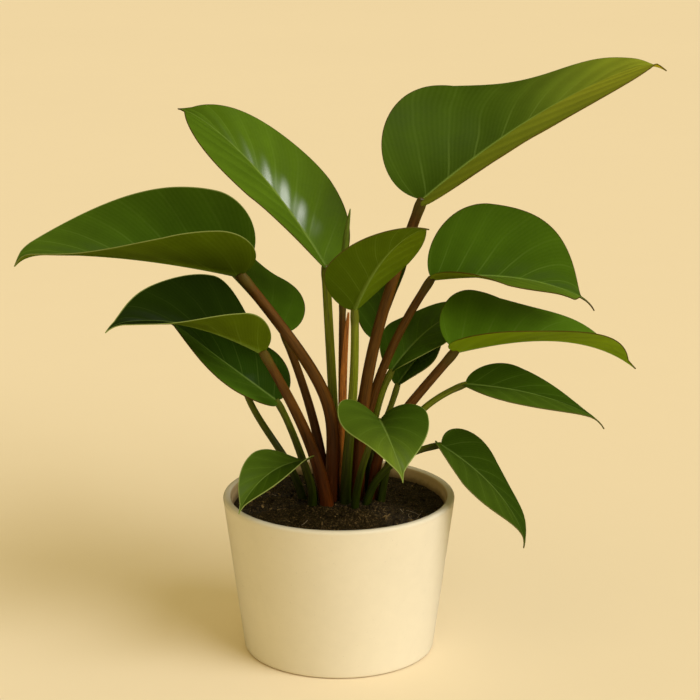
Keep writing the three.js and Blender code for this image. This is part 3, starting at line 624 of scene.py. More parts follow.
def rod_rings(points, radius_at, rings, sides, dome, step=0.0):
    """Rings of a round rod along a Bezier curve, with the values that its finish follows.

    radius_at gives the radius at a share of the length. The last rings close a dome: the radius falls as
    the square root of what is left. step is the share by which the skin spirals outwards in one turn.
    """
    centre, along = bezier(points, rings)
    span = np.linalg.norm(np.diff(centre, axis=0), axis=1).sum()
    t = np.linspace(0, 1, rings)
    radius = radius_at(t)
    over_dome = np.linspace(0, 1, DOME_RINGS + 2)[1:-1]
    centre = np.concatenate([centre, centre[-1] + along[-1] * dome * over_dome[:, None]])
    along = np.concatenate([along, np.repeat(along[-1:], DOME_RINGS, 0)])
    radius = np.concatenate([radius, radius[-1] * np.sqrt(1 - over_dome**2)])
    t = np.concatenate([t, 1 + dome * over_dome / span])
    across, over = sides_of(along)
    share = np.arange(sides) / sides
    angle = 2 * np.pi * share
    ring = radius[:, None] * (1 + step * share)[None, :]
    skin = np.cos(angle)[None, :, None] * across[:, None] + np.sin(angle)[None, :, None] * over[:, None]
    rings_out = centre[:, None] + ring[..., None] * skin
    flat = np.broadcast_arrays(ring * np.cos(angle), ring * np.sin(angle), (t * span)[:, None])
    fibre = np.stack(flat, -1).reshape(-1, 3)
    return rings_out, {"fibre": capped(fibre), "to_tip": capped(np.repeat((1 - t) * span, sides))}


def stem_points(stem):
    """A stem's Bezier points: up from the crown, then over to the joint with its blade."""
    x, y = stem["root"]
    return (x, y, CROWN_TOP), (x, y, stem["rise"]), stem["bend"], stem["joint"]


def lathe(profile, segments):
    """Rings of a profile of (radius, height) pairs turned about the Z axis."""
    angle = 2 * np.pi * np.arange(segments) / segments
    radius, height = np.array(profile, float).T
    x, y = radius[:, None] * np.cos(angle), radius[:, None] * np.sin(angle)
    return np.stack(np.broadcast_arrays(x, y, height[:, None]), -1)


def quadratic(a, b, c, count):
    """Points on the curve that leaves a towards b and reaches c from b."""
    return [tuple(p) for p in bezier((a, b, c), count)[0]]


def outer_radius(height):
    """Radius of the pot's outer wall, a straight taper."""
    return POT["foot"] + (POT["rim"] - POT["foot"]) / POT["height"] * height


def inner_radius(height):
    """Radius of the pot's inner wall, one wall thickness in."""
    return outer_radius(height) - POT["wall"]


def inner_corner(floor, gap, count):
    """The rounded corner over a floor, a gap inside the pot's wall, as (radius, height) pairs."""
    corner = POT["corner"]
    top = (inner_radius(floor + corner) - gap, floor + corner)
    return quadratic(top, (inner_radius(floor) - gap, floor), (inner_radius(0) - corner - gap, floor), count)


def soil_height(x, y):
    """Height of the soil's plain mound, the CAD model's own: an S rise from the wall with crossed waves."""
    inward = np.clip(1 - np.hypot(x, y) / inner_radius(SOIL["edge"]), 0, 1)
    mound = SOIL["mound"] * smoothstep(0, 0.7, inward)
    lumps = np.sin(x / 6.5) * np.cos(y / 5.5) + np.sin((x + 2 * y) / 11)
    return SOIL["edge"] + mound + SOIL["lump"] * lumps * np.minimum(inward * 6, 1)


def rough_soil(x, y, relief):
    """Height of the finished soil: the mound with four sizes of lumps, which are lower at the wall."""
    inward = np.clip(1 - np.hypot(x, y) / inner_radius(SOIL["edge"]), 0, 1)
    sizes = ((11, 0.8), (5.5, 0.7), (2.8, 0.55), (1.5, 0.3))
    lumps = sum((noise(x / s + 40, y / s + 40, 11 + k) - 0.5) * w for k, (s, w) in enumerate(sizes))
    return soil_height(x, y) + relief * lumps * np.minimum(0.35 + inward * 5, 1)


def icosahedron():
    """The 12 corners and 20 faces of a regular icosahedron of radius 1."""
    g = (1 + 5**0.5) / 2
    corners = [(-1, g, 0), (1, g, 0), (-1, -g, 0), (1, -g, 0), (0, -1, g), (0, 1, g)]
    corners += [(0, -1, -g), (0, 1, -g), (g, 0, -1), (g, 0, 1), (-g, 0, -1), (-g, 0, 1)]
    faces = [(0, 11, 5), (0, 5, 1), (0, 1, 7), (0, 7, 10), (0, 10, 11), (1, 5, 9), (5, 11, 4), (11, 10, 2)]
    faces += [(10, 7, 6), (7, 1, 8), (3, 9, 4), (3, 4, 2), (3, 2, 6), (3, 6, 8), (3, 8, 9), (4, 9, 5)]
    faces += [(2, 4, 11), (6, 2, 10), (8, 6, 7), (9, 8, 1)]
    return unit(np.array(corners, float)), np.array(faces)


# Finishes


def rgba(value):
    """A colour with full opacity."""
    value = tuple(value)
    return value if len(value) == 4 else value + (1.0,)


def dimmed(value, gain):
    """A colour at a share of its brightness, or at a multiple of it."""
    return tuple(part * gain for part in value)


class Graph:
    """Adds shader nodes to a tree. What feeds a socket is another socket, which is linked, or a constant."""

    def __init__(self, tree):
        self.tree = tree

    def feed(self, socket, value):
        """Links the value to the socket, or sets the socket to it."""
        if isinstance(value, bpy.types.NodeSocket):
            self.tree.links.new(value, socket)
        else:
            socket.default_value = rgba(value) if socket.type == "RGBA" else value

    def add(self, kind, feeds=None, **settings):
        """A new node with these settings, its sockets fed by name or by place."""
        node = self.tree.nodes.new(kind)
        for key, value in settings.items():
            setattr(node, key, value)
        for key, value in (feeds or {}).items():
            self.feed(node.inputs[key], value)
        return node

    def math(self, operation, *values, clamp=False):
        """The result of one operation on up to three numbers."""
        return self.add("ShaderNodeMath", dict(enumerate(values)), operation=operation, use_clamp=clamp).outputs[0]

    def times(self, a, b, plus=None):
        """a times b, plus a third number where one is given."""
        return self.math("MULTIPLY", a, b) if plus is None else self.math("MULTIPLY_ADD", a, b, plus)

    def ramp(self, value, low, high, start=0.0, end=1.0):
        """start where the value is below low, end where it is above high, and a smooth S between them."""
        feeds = {"Value": value, "From Min": low, "From Max": high, "To Min": start, "To Max": end}
        return self.add("ShaderNodeMapRange", feeds, interpolation_type="SMOOTHSTEP").outputs[0]

    def mix(self, share, a, b, blend="MIX"):
        """Colour a with a share of colour b laid over it."""
        feeds = {0: share, 6: a, 7: b}
        return self.add("ShaderNodeMix", feeds, data_type="RGBA", blend_type=blend, clamp_factor=True).outputs[2]

    def attribute(self, name, output="Fac"):
        """A value that the piece's own mesh holds."""
        return self.add("ShaderNodeAttribute", attribute_name=name).outputs[output]

    def place(self):
        """The place on the object, in metres."""
        return self.add("ShaderNodeTexCoord").outputs["Object"]

    def xyz(self):
        """The three parts of the place on the object."""
        return self.add("ShaderNodeSeparateXYZ", {0: self.place()}).outputs

    def noise(self, vector, scale, detail=3.0, roughness=0.5):
        """Smooth noise from 0 to 1, with this many cells in one unit of the vector."""
        feeds = {"Vector": vector, "Scale": scale, "Detail": detail, "Roughness": roughness}
        return self.add("ShaderNodeTexNoise", feeds).outputs["Fac"]

    def group(self, name, feeds):
        """What a shared node group gives for these feeds."""
        return self.add("ShaderNodeGroup", feeds, node_tree=bpy.data.node_groups[name]).outputs


class Finish(Graph):
    """A material with one Principled shader."""

    def __init__(self, name):
        self.material = bpy.data.materials.new(name)
        self.material.use_nodes = True
        super().__init__(self.material.node_tree)
        self.tree.nodes.clear()
        self.shader = self.add("ShaderNodeBsdfPrincipled")
        self.add("ShaderNodeOutputMaterial", {"Surface": self.shader.outputs[0]})

    def toned(self, body, scale, amount, rough):
        """The body colour with uneven tone, and a roughness that follows the tone between two values."""
        tone = self.group("Uneven Tone", {"Color": body, "Scale": scale, "Amount": amount})
        return tone["Color"], self.ramp(tone["Mask"], 0.3, 0.7, *rough)

    def fibrous(self, body, streak, density):
        """The body colour with streaks along the fibres, and the fibres' height."""
        fibres = self.group("Long Fibres", {"Color": body, "Streak Color": streak, "Density": density})
        return fibres["Color"], fibres["Height"]

    def done(self, base, rough, height=None, strength=0.3, depth=0.0002, **feeds):
        """The material, with its shader fed. The names of further sockets have _ for a space."""
        feeds.update(Base_Color=base, Roughness=rough)
        if height is not None:
            bump = {"Strength": strength, "Distance": depth, "Height": height}
            feeds["Normal"] = self.add("ShaderNodeBump", bump).outputs[0]
        for key, value in feeds.items():
            self.feed(self.shader.inputs[key.replace("_", " ")], value)
        return self.material


def new_group(name, takes, gives):
    """An empty shader node group. Its inputs are (name, kind, default), and its outputs (name, kind)."""
    tree = bpy.data.node_groups.new(name, "ShaderNodeTree")
    for label, kind, default in takes:
        socket = tree.interface.new_socket(label, in_out="INPUT", socket_type=f"NodeSocket{kind}")
        socket.default_value = default
    for label, kind in gives:
        tree.interface.new_socket(label, in_out="OUTPUT", socket_type=f"NodeSocket{kind}")
    graph = Graph(tree)
    return graph, graph.add("NodeGroupInput").outputs, graph.add("NodeGroupOutput").inputs


def make_tone_group():
    """Uneven tone: soft blotches and fine grain brighten or darken a colour, as on anything grown or fired."""
    takes = [("Color", "Color", WHITE), ("Scale", "Float", 20.0), ("Amount", "Float", 0.15)]
    graph, given, result = new_group("Uneven Tone", takes, [("Color", "Color"), ("Mask", "Float")])
    place = graph.place()
    blotch = graph.noise(place, given["Scale"], 2.0)
    grain = graph.noise(place, graph.times(given["Scale"], 12.0), 3.0)
    mask = graph.times(grain, 0.3, graph.times(blotch, 0.7))
    contrast = graph.times(graph.math("SUBTRACT", mask, 0.5), 4.0)
    gain = graph.times(contrast, given["Amount"], 1.0)
    scaled = graph.add("ShaderNodeVectorMath", {0: given["Color"], "Scale": gain}, operation="SCALE")
    graph.feed(result["Color"], scaled.outputs[0])
    graph.feed(result["Mask"], mask)


def make_fibre_group():
    """Long fibres: streaks along a stem, from noise squeezed in the piece's own fibre attribute."""
    takes = [("Color", "Color", WHITE), ("Streak Color", "Color", WHITE), ("Density", "Float", 1.0)]
    graph, given, result = new_group("Long Fibres", takes, [("Color", "Color"), ("Height", "Float")])
    squeeze = {"Vector": graph.attribute("fibre", "Vector"), "Scale": (1.0, 1.0, 0.035)}
    squeezed = graph.add("ShaderNodeMapping", squeeze).outputs[0]
    fine = graph.noise(squeezed, graph.times(given["Density"], 1.6), 4.0, 0.6)
    coarse = graph.noise(squeezed, graph.times(given["Density"], 0.45), 2.0)
    streaks = graph.ramp(graph.times(fine, 0.6, graph.times(coarse, 0.4)), 0.4, 0.68)
    graph.feed(result["Color"], graph.mix(streaks, given["Color"], given["Streak Color"]))
    graph.feed(result["Height"], fine)


def make_blade_group():
    """Leaf veins: masks for the midrib, side veins, fine veins and margin, from the blade's own attributes.

    A side vein runs where the phase is a whole number, wobbles a little and fades towards the edge. The space
    between two side veins holds about seven fine ones. The midrib narrows towards the tip.
    """
    takes = [("Fine Veins", "Float", 7.0), ("Rib Width", "Float", 1.5)]
    gives = [(name, "Float") for name in ("Rib", "Veins", "Fine", "Margin", "Between")]
    graph, given, result = new_group("Leaf Veins", takes, gives)
    along, across = graph.attribute("along"), graph.math("ABSOLUTE", graph.attribute("across"))
    wobble = graph.times(graph.noise(graph.place(), 30.0, 1.0), 0.16, -0.08)
    phase = graph.math("ADD", graph.attribute("phase"), wobble)
    rib_width = graph.times(given["Rib Width"], graph.ramp(along, 0.0, 1.0, 1.0, 0.22))
    to_vein = graph.math("PINGPONG", phase, 0.5)
    fade = graph.ramp(across, 4.0, 34.0, 1.0, 0.12)
    edge = graph.ramp(graph.attribute("edge"), 0.35, 0.85, 1.0, 0.0)
    masks = {
        "Rib": graph.math("SUBTRACT", 1.0, graph.math("DIVIDE", across, rib_width), clamp=True),
        "Veins": graph.times(graph.ramp(to_vein, 0.0, 0.07, 1.0, 0.0), fade),
        "Fine": graph.math("PINGPONG", graph.times(phase, given["Fine Veins"]), 0.5),
        "Margin": graph.times(edge, graph.ramp(along, 0.02, 0.1)),
        "Between": graph.ramp(to_vein, 0.0, 0.5),
    }
    for name, mask in masks.items():
        graph.feed(result[name], mask)


def blade_finish(name, body, settings, looks, under):
    """Upper face: waxy near the midrib, with faint side veins and a thin edge. Lower face: paler and duller.

    A brighter tone, partly painted light and sheen, is yellower and paler too, up to a limit. Between side veins the
    blade is a little darker, painted shade of its quilting. Veins take their brightness from the body, and those of a
    small leaf are fainter. The wax fades away from the midrib, towards the base and over the side veins.
    """
    skin = Finish(name)
    veins = skin.group("Leaf Veins", {"Rib Width": UNDER_RIB if under else looks["rib"]})
    toned, uneven = skin.toned(body, 26.0, 0.16, (-0.04, 0.05))
    tone = skin.attribute("tone")
    yellow = skin.math("MINIMUM", skin.times(tone, 0.3, 0.7), MOST_YELLOW)
    gain = skin.add("ShaderNodeCombineXYZ", {0: skin.times(tone, yellow), 1: tone, 2: tone}).outputs[0]
    base = skin.add("ShaderNodeVectorMath", {0: toned, 1: gain}, operation="MULTIPLY").outputs[0]
    bright = body[1] / FULL_GREEN
    pale, rib = (dimmed(settings.vein, min(max(bright, least), 1.0)) for least in (0.3, 0.65))
    edge = [lerp(dark, light, looks["pale"]) for dark, light in zip(settings.margin, settings.pale_margin)]
    size = (looks["pairs"] / MOST_PAIRS) ** 1.5
    # Painted light and shade: a brighter tone pales towards the vein colour, and the blade darkens between side veins
    # as painted shade of its quilting.
    layers = (
        (skin.times(skin.math("SUBTRACT", tone, 1.0, clamp=True), 0.14), pale),
        (skin.ramp(veins["Fine"], 0.0, 0.5, 0.07 if under else 0.035, 0.0), pale),
        (skin.times(veins["Between"], 0.16), dimmed(body, 0.5)),
        (skin.times(veins["Veins"], 0.17 if under else 0.2 * size), pale),
        (skin.times(veins["Rib"], 0.7), rib),
        (skin.times(veins["Margin"], 0.85), edge),
    )
    for share, over in layers:
        base = skin.mix(share, base, over)

    across = skin.math("ABSOLUTE", skin.attribute("across"))
    dull = 0.56 if under else looks["gloss"]
    rough = skin.math("ADD", uneven, skin.ramp(across, 6.0, 22.0, max(dull, 0.36), max(dull, 0.5)))
    wax = 0.0
    if not under:
        wax = skin.ramp(across, 5.0, 19.0, looks["wax"], 0.0)
        wax = skin.times(wax, skin.ramp(skin.attribute("along"), 0.12, 0.26))
        wax = skin.times(wax, skin.ramp(veins["Between"], 0.12, 0.75, 0.3, 1.0))
    grain = skin.noise(skin.place(), 1500.0, 2.0)
    height = skin.times(veins["Fine"], 0.16, skin.times(grain, 0.3))
    height = skin.times(veins["Veins"], 0.8 if under else -0.8, height)
    coat = {"Coat_Weight": wax, "Coat_Roughness": looks["gloss"], "Specular_IOR_Level": 0.02}
    return skin.done(base, rough, height, 0.35, 0.00025, **coat)


def stem_finish(name, body, foot, settings):
    """Satin skin with long fibres, darker streaks and an olive knee under the blade.

    The foot's tint multiplies the colour near the soil: painted shade there, with the red stems' own redder foot.
    """
    skin = Finish(name)
    toned, rough = skin.toned(body, 30.0, 0.25, (0.38, 0.52))
    base, height = skin.fibrous(toned, dimmed(body, 0.35), 1.0)
    reach = settings.knee_length / MM
    knee = skin.ramp(skin.attribute("to_tip"), reach * 0.5, reach * 1.7, 0.45, 0.0)
    base = skin.mix(knee, base, settings.knee)
    # Painted shade near the soil, with the red stems' own redder foot
    above = skin.ramp(skin.xyz()[2], *STEM_FOOT_SHADE)
    base = skin.mix(above, skin.mix(1.0, base, foot, "MULTIPLY"), base)
    return skin.done(base, rough, height, 0.35, 0.0003)


def glaze_finish(settings):
    """Satin cream glaze with soft unevenness, fine specks and a glossier lip, and bare fired clay underneath.

    The inner wall has a warm brown of painted shade, with soil dust up to an uneven line.
    """
    skin = Finish("satin_cream_glaze")
    glaze = settings.cream_glaze
    base, rough = skin.toned(glaze, 9.0, 0.05, (0.36, 0.46))
    x, y, height = skin.xyz()
    foot = skin.ramp(height, *BARE_FOOT, 1.0, 0.0)
    base = skin.mix(foot, base, settings.bare_foot)
    radius = skin.math("SQRT", skin.times(x, x, skin.times(y, y)))
    inside = skin.times(skin.ramp(radius, *INNER_EDGE, 1.0, 0.0), skin.ramp(height, *INNER_SHADE_HEIGHTS))
    line = skin.times(skin.noise(skin.place(), 160.0, 4.0, 0.7), 0.006, height)
    dust = skin.times(inside, skin.ramp(line, *DUST_LINE, 0.7, 0.0))
    # Painted shade: the inner wall turns a warm brown.
    base = skin.mix(skin.times(inside, 0.75), base, settings.painted_inner_shade)
    base = skin.mix(dust, base, settings.dust)
    speck = skin.ramp(skin.noise(skin.place(), 700.0, 1.0), 0.74, 0.8, 0.0, 0.35)
    base = skin.mix(speck, base, dimmed(glaze, 0.62))
    rough = skin.times(foot, 0.4, rough)
    ripple = skin.noise(skin.place(), 60.0, 4.0, 0.6)
    lip = skin.ramp(height, *GLOSSY_LIP, 0.02, 0.87)
    return skin.done(base, rough, ripple, 0.12, 0.0006, Coat_Weight=lip, Coat_Roughness=0.18, Specular_IOR_Level=0.05)


def soil_finish(name, settings, loose):
    """Damp near-black mix, with lighter fibre and bark. A loose crumb takes its tone from its own value."""
    skin = Finish(name)
    toned, rough = skin.toned(settings.soil, 90.0, 0.6, (0.7, 0.95))
    flecks = skin.noise(skin.place(), 900.0, 4.0, 0.7)
    fleck = skin.attribute("tone") if loose else skin.ramp(flecks, 0.5, 0.7, 0.0, 0.6)
    base = skin.mix(fleck, toned, settings.bark)
    return skin.done(base, rough, skin.noise(skin.place(), 1400.0, 5.0, 0.7), 0.8, 0.0008)


def fibre_finish(name, body, streak, density, rough=0.6, depth=0.0003):
    """Dry or young skin with long fibres in a second colour."""
    skin = Finish(name)
    toned, spread = skin.toned(body, 60.0, 0.3, (rough - 0.06, rough + 0.08))
    base, height = skin.fibrous(toned, streak, density)
    return skin.done(base, spread, height, 0.5, depth)


def bare_root_finish():
    """Tan root skin, blotched and rough, for the buried crown."""
    skin = Finish("root_skin")
    base, rough = skin.toned(SLOT_COLOURS["root"], 80.0, 0.4, (0.7, 0.9))
    return skin.done(base, rough, skin.noise(skin.place(), 500.0, 4.0), 0.5, 0.0005)


# Operators


class PieceOperator:
    """What every operator of this add-on shares."""

    bl_options = {"REGISTER", "UNDO"}

    @property
    def settings(self):
        """The sizes and colours in the sidebar."""
        return bpy.context.scene.philodendron


class PHILODENDRON_OT_finishes(PieceOperator, Operator):
    """Makes the shader node groups that several finishes share"""

    bl_idname = "philodendron.make_finishes"
    bl_label = "Make Shared Finishes"

    def execute(self, context):
        make_tone_group()
        make_fibre_group()
        make_blade_group()
        return {"FINISHED"}


class PHILODENDRON_OT_pot(PieceOperator, Operator):
    """Turns the cream pot with its rounded lip and drills its drainage holes"""

    bl_idname = "philodendron.add_pot"
    bl_label = "Add Pot"

    def execute(self, context):
        add_pot(self.settings.pot)
        return {"FINISHED"}


class PHILODENDRON_OT_soil(PieceOperator, Operator):
    """Fills the pot with crumbly soil, with loose crumbs and pale rootlets on it"""

    bl_idname = "philodendron.add_soil"
    bl_label = "Add Soil"

    def execute(self, context):
        add_soil(self.settings.soil)
        return {"FINISHED"}


class PHILODENDRON_OT_stems(PieceOperator, Operator):
    """Grows a stem for each leaf"""

    bl_idname = "philodendron.add_stems"
    bl_label = "Add Stems"

    def execute(self, context):
        add_stems(self.settings.stems)
        return {"FINISHED"}


class PHILODENDRON_OT_blades(PieceOperator, Operator):
    """Grows the leaf blades with their veins, folds and waves"""

    bl_idname = "philodendron.add_blades"
    bl_label = "Add Leaf Blades"

    def execute(self, context):
        add_blades(self.settings.leaves)
        return {"FINISHED"}


class PHILODENDRON_OT_new_leaf(PieceOperator, Operator):
    """Adds the new leaf, still rolled up, and the dry sheath beside it"""

    bl_idname = "philodendron.add_new_leaf"
    bl_label = "Add New Leaf"

    def execute(self, context):
        add_spear(self.settings.leaves)
        add_sheath(self.settings.stems)
        return {"FINISHED"}


class PHILODENDRON_OT_stage(PieceOperator, Operator):
    """Adds the plain floor, the soft studio light and the camera"""

    bl_idname = "philodendron.add_stage"
    bl_label = "Add Stage"

    def execute(self, context):
        add_floor(self.settings.stage)
        add_lights(self.settings.stage)
        add_camera(self.settings.stage)
        return {"FINISHED"}


# Pieces


def add_pot(settings):
    """The pot is one closed turned profile: underside, foot, outer wall, lip, inner wall and floor."""
    foot, height, rim, wall = POT["foot"], POT["height"], POT["rim"], POT["wall"]
    rounded, corner, floor = POT["foot_round"], POT["corner"], POT["floor"]
    low, lip_top = height - POT["lip"], (rim - wall / 2, height)
    profile = [(r, 0.0) for r in np.linspace(POT["hub"], foot - rounded, 8)[:-1]]
    profile += quadratic((foot - rounded, 0), (foot, 0), (outer_radius(rounded), rounded), 7)
    profile += [(outer_radius(z), z) for z in np.linspace(rounded, low, 34)[1:-1]]
    profile += quadratic((outer_radius(low), low), (rim, height), lip_top, 10)
    profile += quadratic(lip_top, (rim - wall, height), (inner_radius(low), low), 10)[1:]
    profile += [(inner_radius(z), z) for z in np.linspace(low, floor + corner, 16)[1:-1]]
    profile += inner_corner(floor, 0, 7)
    profile += [(r, float(floor)) for r in np.linspace(inner_radius(0) - corner, POT["hub"], 8)[1:]]
    points, faces = closed_tube(lathe(profile, 160))
    glaze = glaze_finish(settings)
    pot = add_piece("cream_pot", points * MM, faces, [glaze], ("pot",))
    for i in range(DRAIN["count"]):
        angle = np.radians(90 + i * 360 / DRAIN["count"])
        drill = lathe([(DRAIN["radius"], z) for z in (-5.0, floor + 6.0)], 32)
        drill += np.array([DRAIN["circle"] * np.cos(angle), DRAIN["circle"] * np.sin(angle), 0])
        points, faces = closed_tube(drill)
        cut_with(pot, points * MM, faces, glaze)


def cut_with(piece, points, face_sets, material):
    """Takes a closed cutter shape away from a piece, then removes the cutter."""
    mesh = bpy.data.meshes.new("cutter")
    mesh.from_pydata(points.tolist(), [], [face for faces in outward(points, face_sets) for face in faces.tolist()])
    mesh.materials.append(material)
    cutter = link_new("cutter", mesh)
    modifier = piece.modifiers.new("cut", "BOOLEAN")
    modifier.operation, modifier.solver, modifier.object = "DIFFERENCE", "EXACT", cutter
    bpy.context.view_layer.update()
    result = bpy.data.meshes.new_from_object(piece.evaluated_get(bpy.context.evaluated_depsgraph_get()))
    piece.modifiers.remove(modifier)
    old, piece.data = piece.data, result
    bpy.data.meshes.remove(old)
    result.set_sharp_from_angle(angle=np.radians(50))
    bpy.data.objects.remove(cutter)
    bpy.data.meshes.remove(mesh)


def add_soil(settings):
    """The soil is a turned block with a rough top, strewn with loose crumbs and a few rootlets."""
    gap, relief = SOIL["gap"], settings.relief / MM
    floor, edge = POT["floor"] + gap, inner_radius(SOIL["edge"]) - gap
    top = [(r, 0.0) for r in edge * np.linspace(0.006, 1, 120) ** 0.85]
    side = [(inner_radius(z) - gap, z) for z in np.linspace(SOIL["edge"] - 4, floor + POT["corner"], 9)]
    side += inner_corner(floor, gap, 6)[1:]
    side += [(r, floor) for r in np.linspace(inner_radius(0) - POT["corner"] - gap, 6, 5)[1:]]
    rings = lathe(top + side, 300)
    rings[: len(top), :, 2] = rough_soil(rings[: len(top), :, 0], rings[: len(top), :, 1], relief)
    points, faces = closed_tube(rings)
    damp = soil_finish("damp_soil", settings, False)
    add_piece("potting_soil", points * MM, faces, [damp], ("soil",))
    chance = np.random.default_rng(5)
    add_crumbs(settings, edge, chance)
    add_rootlets(settings, chance)
    root = frame["nodes"]["root_crown"]
    root.data.materials.clear()
    root.data.materials.append(bare_root_finish())


def add_crumbs(settings, edge, chance):
    """Loose crumbs are dented and stretched icosahedra, most of them tiny. Some are splinters, and some are light."""
    count = settings.crumbs
    corners, triangles = icosahedron()
    distance = (edge - 2.5) * np.sqrt(chance.random(count))
    angle = 2 * np.pi * chance.random(count)
    x, y = distance * np.cos(angle), distance * np.sin(angle)
    size = settings.crumb / MM * lerp(0.14, 1.0, chance.random(count) ** 5)
    stretch = chance.uniform(0.4, 1.3, (count, 1, 3)) * np.where(chance.random(count) < 0.35, 1, 0.5)[:, None, None]
    stretch[:, :, 0] *= np.where(chance.random(count) < 0.45, 3.2, 1.4)[:, None]
    dents = chance.uniform(0.7, 1.15, (count, 12, 1))
    turn = unit(chance.normal(size=(count, 3, 3)))
    lumps = (corners * stretch * dents) @ turn * size[:, None, None]
    middle = np.stack([x, y, rough_soil(x, y, settings.relief / MM) + 0.15 * size], -1)
    points = (lumps + middle[:, None]).reshape(-1, 3)
    faces = (triangles[None] + 12 * np.arange(count)[:, None, None]).reshape(-1, 3)
    tone = np.where(chance.random(count) < 0.3, chance.uniform(0.15, 0.9, count), chance.uniform(0, 0.12, count))
    loose = soil_finish("loose_soil", settings, True)
    values = {"tone": np.repeat(tone, 12)}
    add_piece("soil_crumbs", points * MM, [faces], [loose], values=values)


def add_rootlets(settings, chance):
    """Each rootlet is a thin tapering rod, curved once, that lies on the soil."""
    tubes, start = [], 0
    for _ in range(settings.rootlets):
        heading, bend, span = chance.uniform(0, 2 * np.pi), chance.uniform(-1.2, 1.2), chance.uniform(7, 19)
        away, about = chance.uniform(34, 66), chance.uniform(0, 2 * np.pi)
        spot = np.array([away * np.cos(about), away * np.sin(about)])
        ahead = np.array([np.cos(heading), np.sin(heading)])
        aside = np.array([-ahead[1], ahead[0]]) * bend * span * 0.4
        flat = np.array([spot, spot + ahead * span / 2 + aside, spot + ahead * span])
        path = np.column_stack([flat, rough_soil(flat[:, 0], flat[:, 1], settings.relief / MM) + 0.5])
        rings, values = rod_rings(path, lambda t: 0.16 - 0.09 * t, 16, 8, 0.15)
        points, (quads, fans) = closed_tube(rings)
        tubes.append((points * MM, quads + start, fans + start, values["fibre"]))
        start += len(points)
    points, quads, fans, fibre = (np.concatenate(parts) for parts in zip(*tubes))
    dry = fibre_finish("dry_rootlet", settings.rootlet, settings.rootlet_streak, 3.0)
    add_piece("soil_rootlets", points, [quads, fans], [dry], values={"fibre": fibre})


def add_stem(name, node, stem, material, knee):
    """A stem tapers from root to joint by the CAD model's rule, swells a little at its knee and narrows above it."""
    points = stem_points(stem)
    span = np.linalg.norm(np.diff(bezier(points, 60)[0], axis=0), axis=1).sum()

    def radius(t):
        """The plain taper, times two bell curves near the top: the knee's and the neck's."""
        left = (1 - t) * span
        swell = KNEE_SWELL * np.exp(-(((left - knee * 0.55) / (knee * 0.4)) ** 2))
        neck = NECK * np.exp(-((left / NECK_LENGTH) ** 2))
        return lerp(stem["thin"], stem["thick"], (1 - t) ** 1.5) * (1 + swell - neck)

    rings, values = rod_rings(points, radius, 90, 24, stem["thin"] * STEM_DOME)
    tube, faces = closed_tube(rings)
    add_piece(name, tube * MM, faces, [material], (node,), values)


def add_stems(settings):
    """One stem for each leaf, red for the large ones and green for the small ones."""
    kinds = {}
    for hue in ("red", "green"):
        body, foot = getattr(settings, f"{hue}_stem"), getattr(settings, f"{hue}_foot")
        kinds[f"{hue}_stem"] = stem_finish(f"{hue}_stem_skin", body, foot, settings)
    for leaf in LEAVES:
        name, slot = leaf["name"], leaf["stem_slot"]
        add_stem(f"{name}_petiole", f"{name}_stem", leaf["stem"], kinds[slot], settings.knee_length / MM)
    add_stem("new_leaf_petiole", "new_leaf_stem", NEW_LEAF["stem"], kinds["red_stem"], NEW_LEAF["knee"])


def add_blades(settings):
    """One blade for each leaf, with its own shade of one of three leaf colours, partly painted light and shade."""
    for leaf in LEAVES:
        name, slot, looks = leaf["name"], leaf["blade_slot"], leaf["looks"]
        points, faces, values, face_material = blade_surface(leaf, settings)
        body, below = dimmed(getattr(settings, slot), looks["shade"]), dimmed(settings.underside, looks["under"])
        skins = [
            blade_finish(f"{name}_upper", body, settings, looks, False),
            blade_finish(f"{name}_lower", below, settings, looks, True),
        ]
        add_piece(f"{name}_lamina", points * MM, faces, skins, (f"{name}_blade",), values, face_material)


def add_spear(settings):
    """The rolled leaf is a tapering rod with a spiral skin, on its own stem."""
    stem, wide = NEW_LEAF["stem"], NEW_LEAF["roll_radius"]
    x, y, z = stem["joint"]
    path = ((x, y, z + stem["thin"] * STEM_DOME + 0.3), (x, y, NEW_LEAF["lean"]), NEW_LEAF["tip"])

    def radius(t):
        """A slow rise along the roll, times a fall that closes it at its tip."""
        return wide * (0.8 + 0.5 * t) * (1 - t**3) + 0.4

    rings, values = rod_rings(path, radius, 90, 40, 1.0, NEW_LEAF["roll_step"])
    points, faces = closed_tube(rings)
    young = fibre_finish("rolled_leaf", settings.rolled_leaf, settings.rolled_streak, 2.0, 0.4, 0.0004)
    add_piece("new_leaf_spear", points * MM, faces, [young], ("new_leaf_roll",), values)


def add_sheath(settings):
    """The sheath is a narrow trough along a curve: an arc of a circle, thinner at its edges and narrower at its tip."""
    rows, columns = 110, 19
    place, along = bezier(SHEATH["points"], rows)
    left, down = sides_of(along)
    u = np.linspace(0, 1, rows)[:, None]
    v = np.linspace(-1, 1, columns)[None, :]
    hollow, thick = SHEATH["hollow_radius"], SHEATH["thickness"]
    angle = v * SHEATH["half_width"] * np.sqrt(1 - 0.96 * u**3) / hollow
    thin_edge = np.sqrt(np.clip(1 - v**6, 0, 1))

    def face(radius):
        """One face of the trough, at this distance from the middle of the arc."""
        out, sink = radius * np.sin(angle), radius * np.cos(angle) - hollow
        return place[:, None] + out[..., None] * left[:, None] + sink[..., None] * down[:, None]

    inner, outer = (face(hollow + thick / 2 * (1 + way * thin_edge)) for way in (-1, 1))
    points, faces = closed_tube(np.concatenate([inner, outer[:, -2:0:-1]], 1))
    fibre = np.stack(np.broadcast_arrays(angle * hollow, 0 * angle, u * SHEATH["length"]), -1)
    fibre = capped(np.concatenate([fibre, fibre[:, -2:0:-1]], 1).reshape(-1, 3))
    papery = fibre_finish("papery_sheath", settings.dry_sheath, settings.sheath_streak, 1.4, 0.62)
    add_piece("papery_cataphyll", points * MM, faces, [papery], ("leaf_sheath",), {"fibre": fibre})


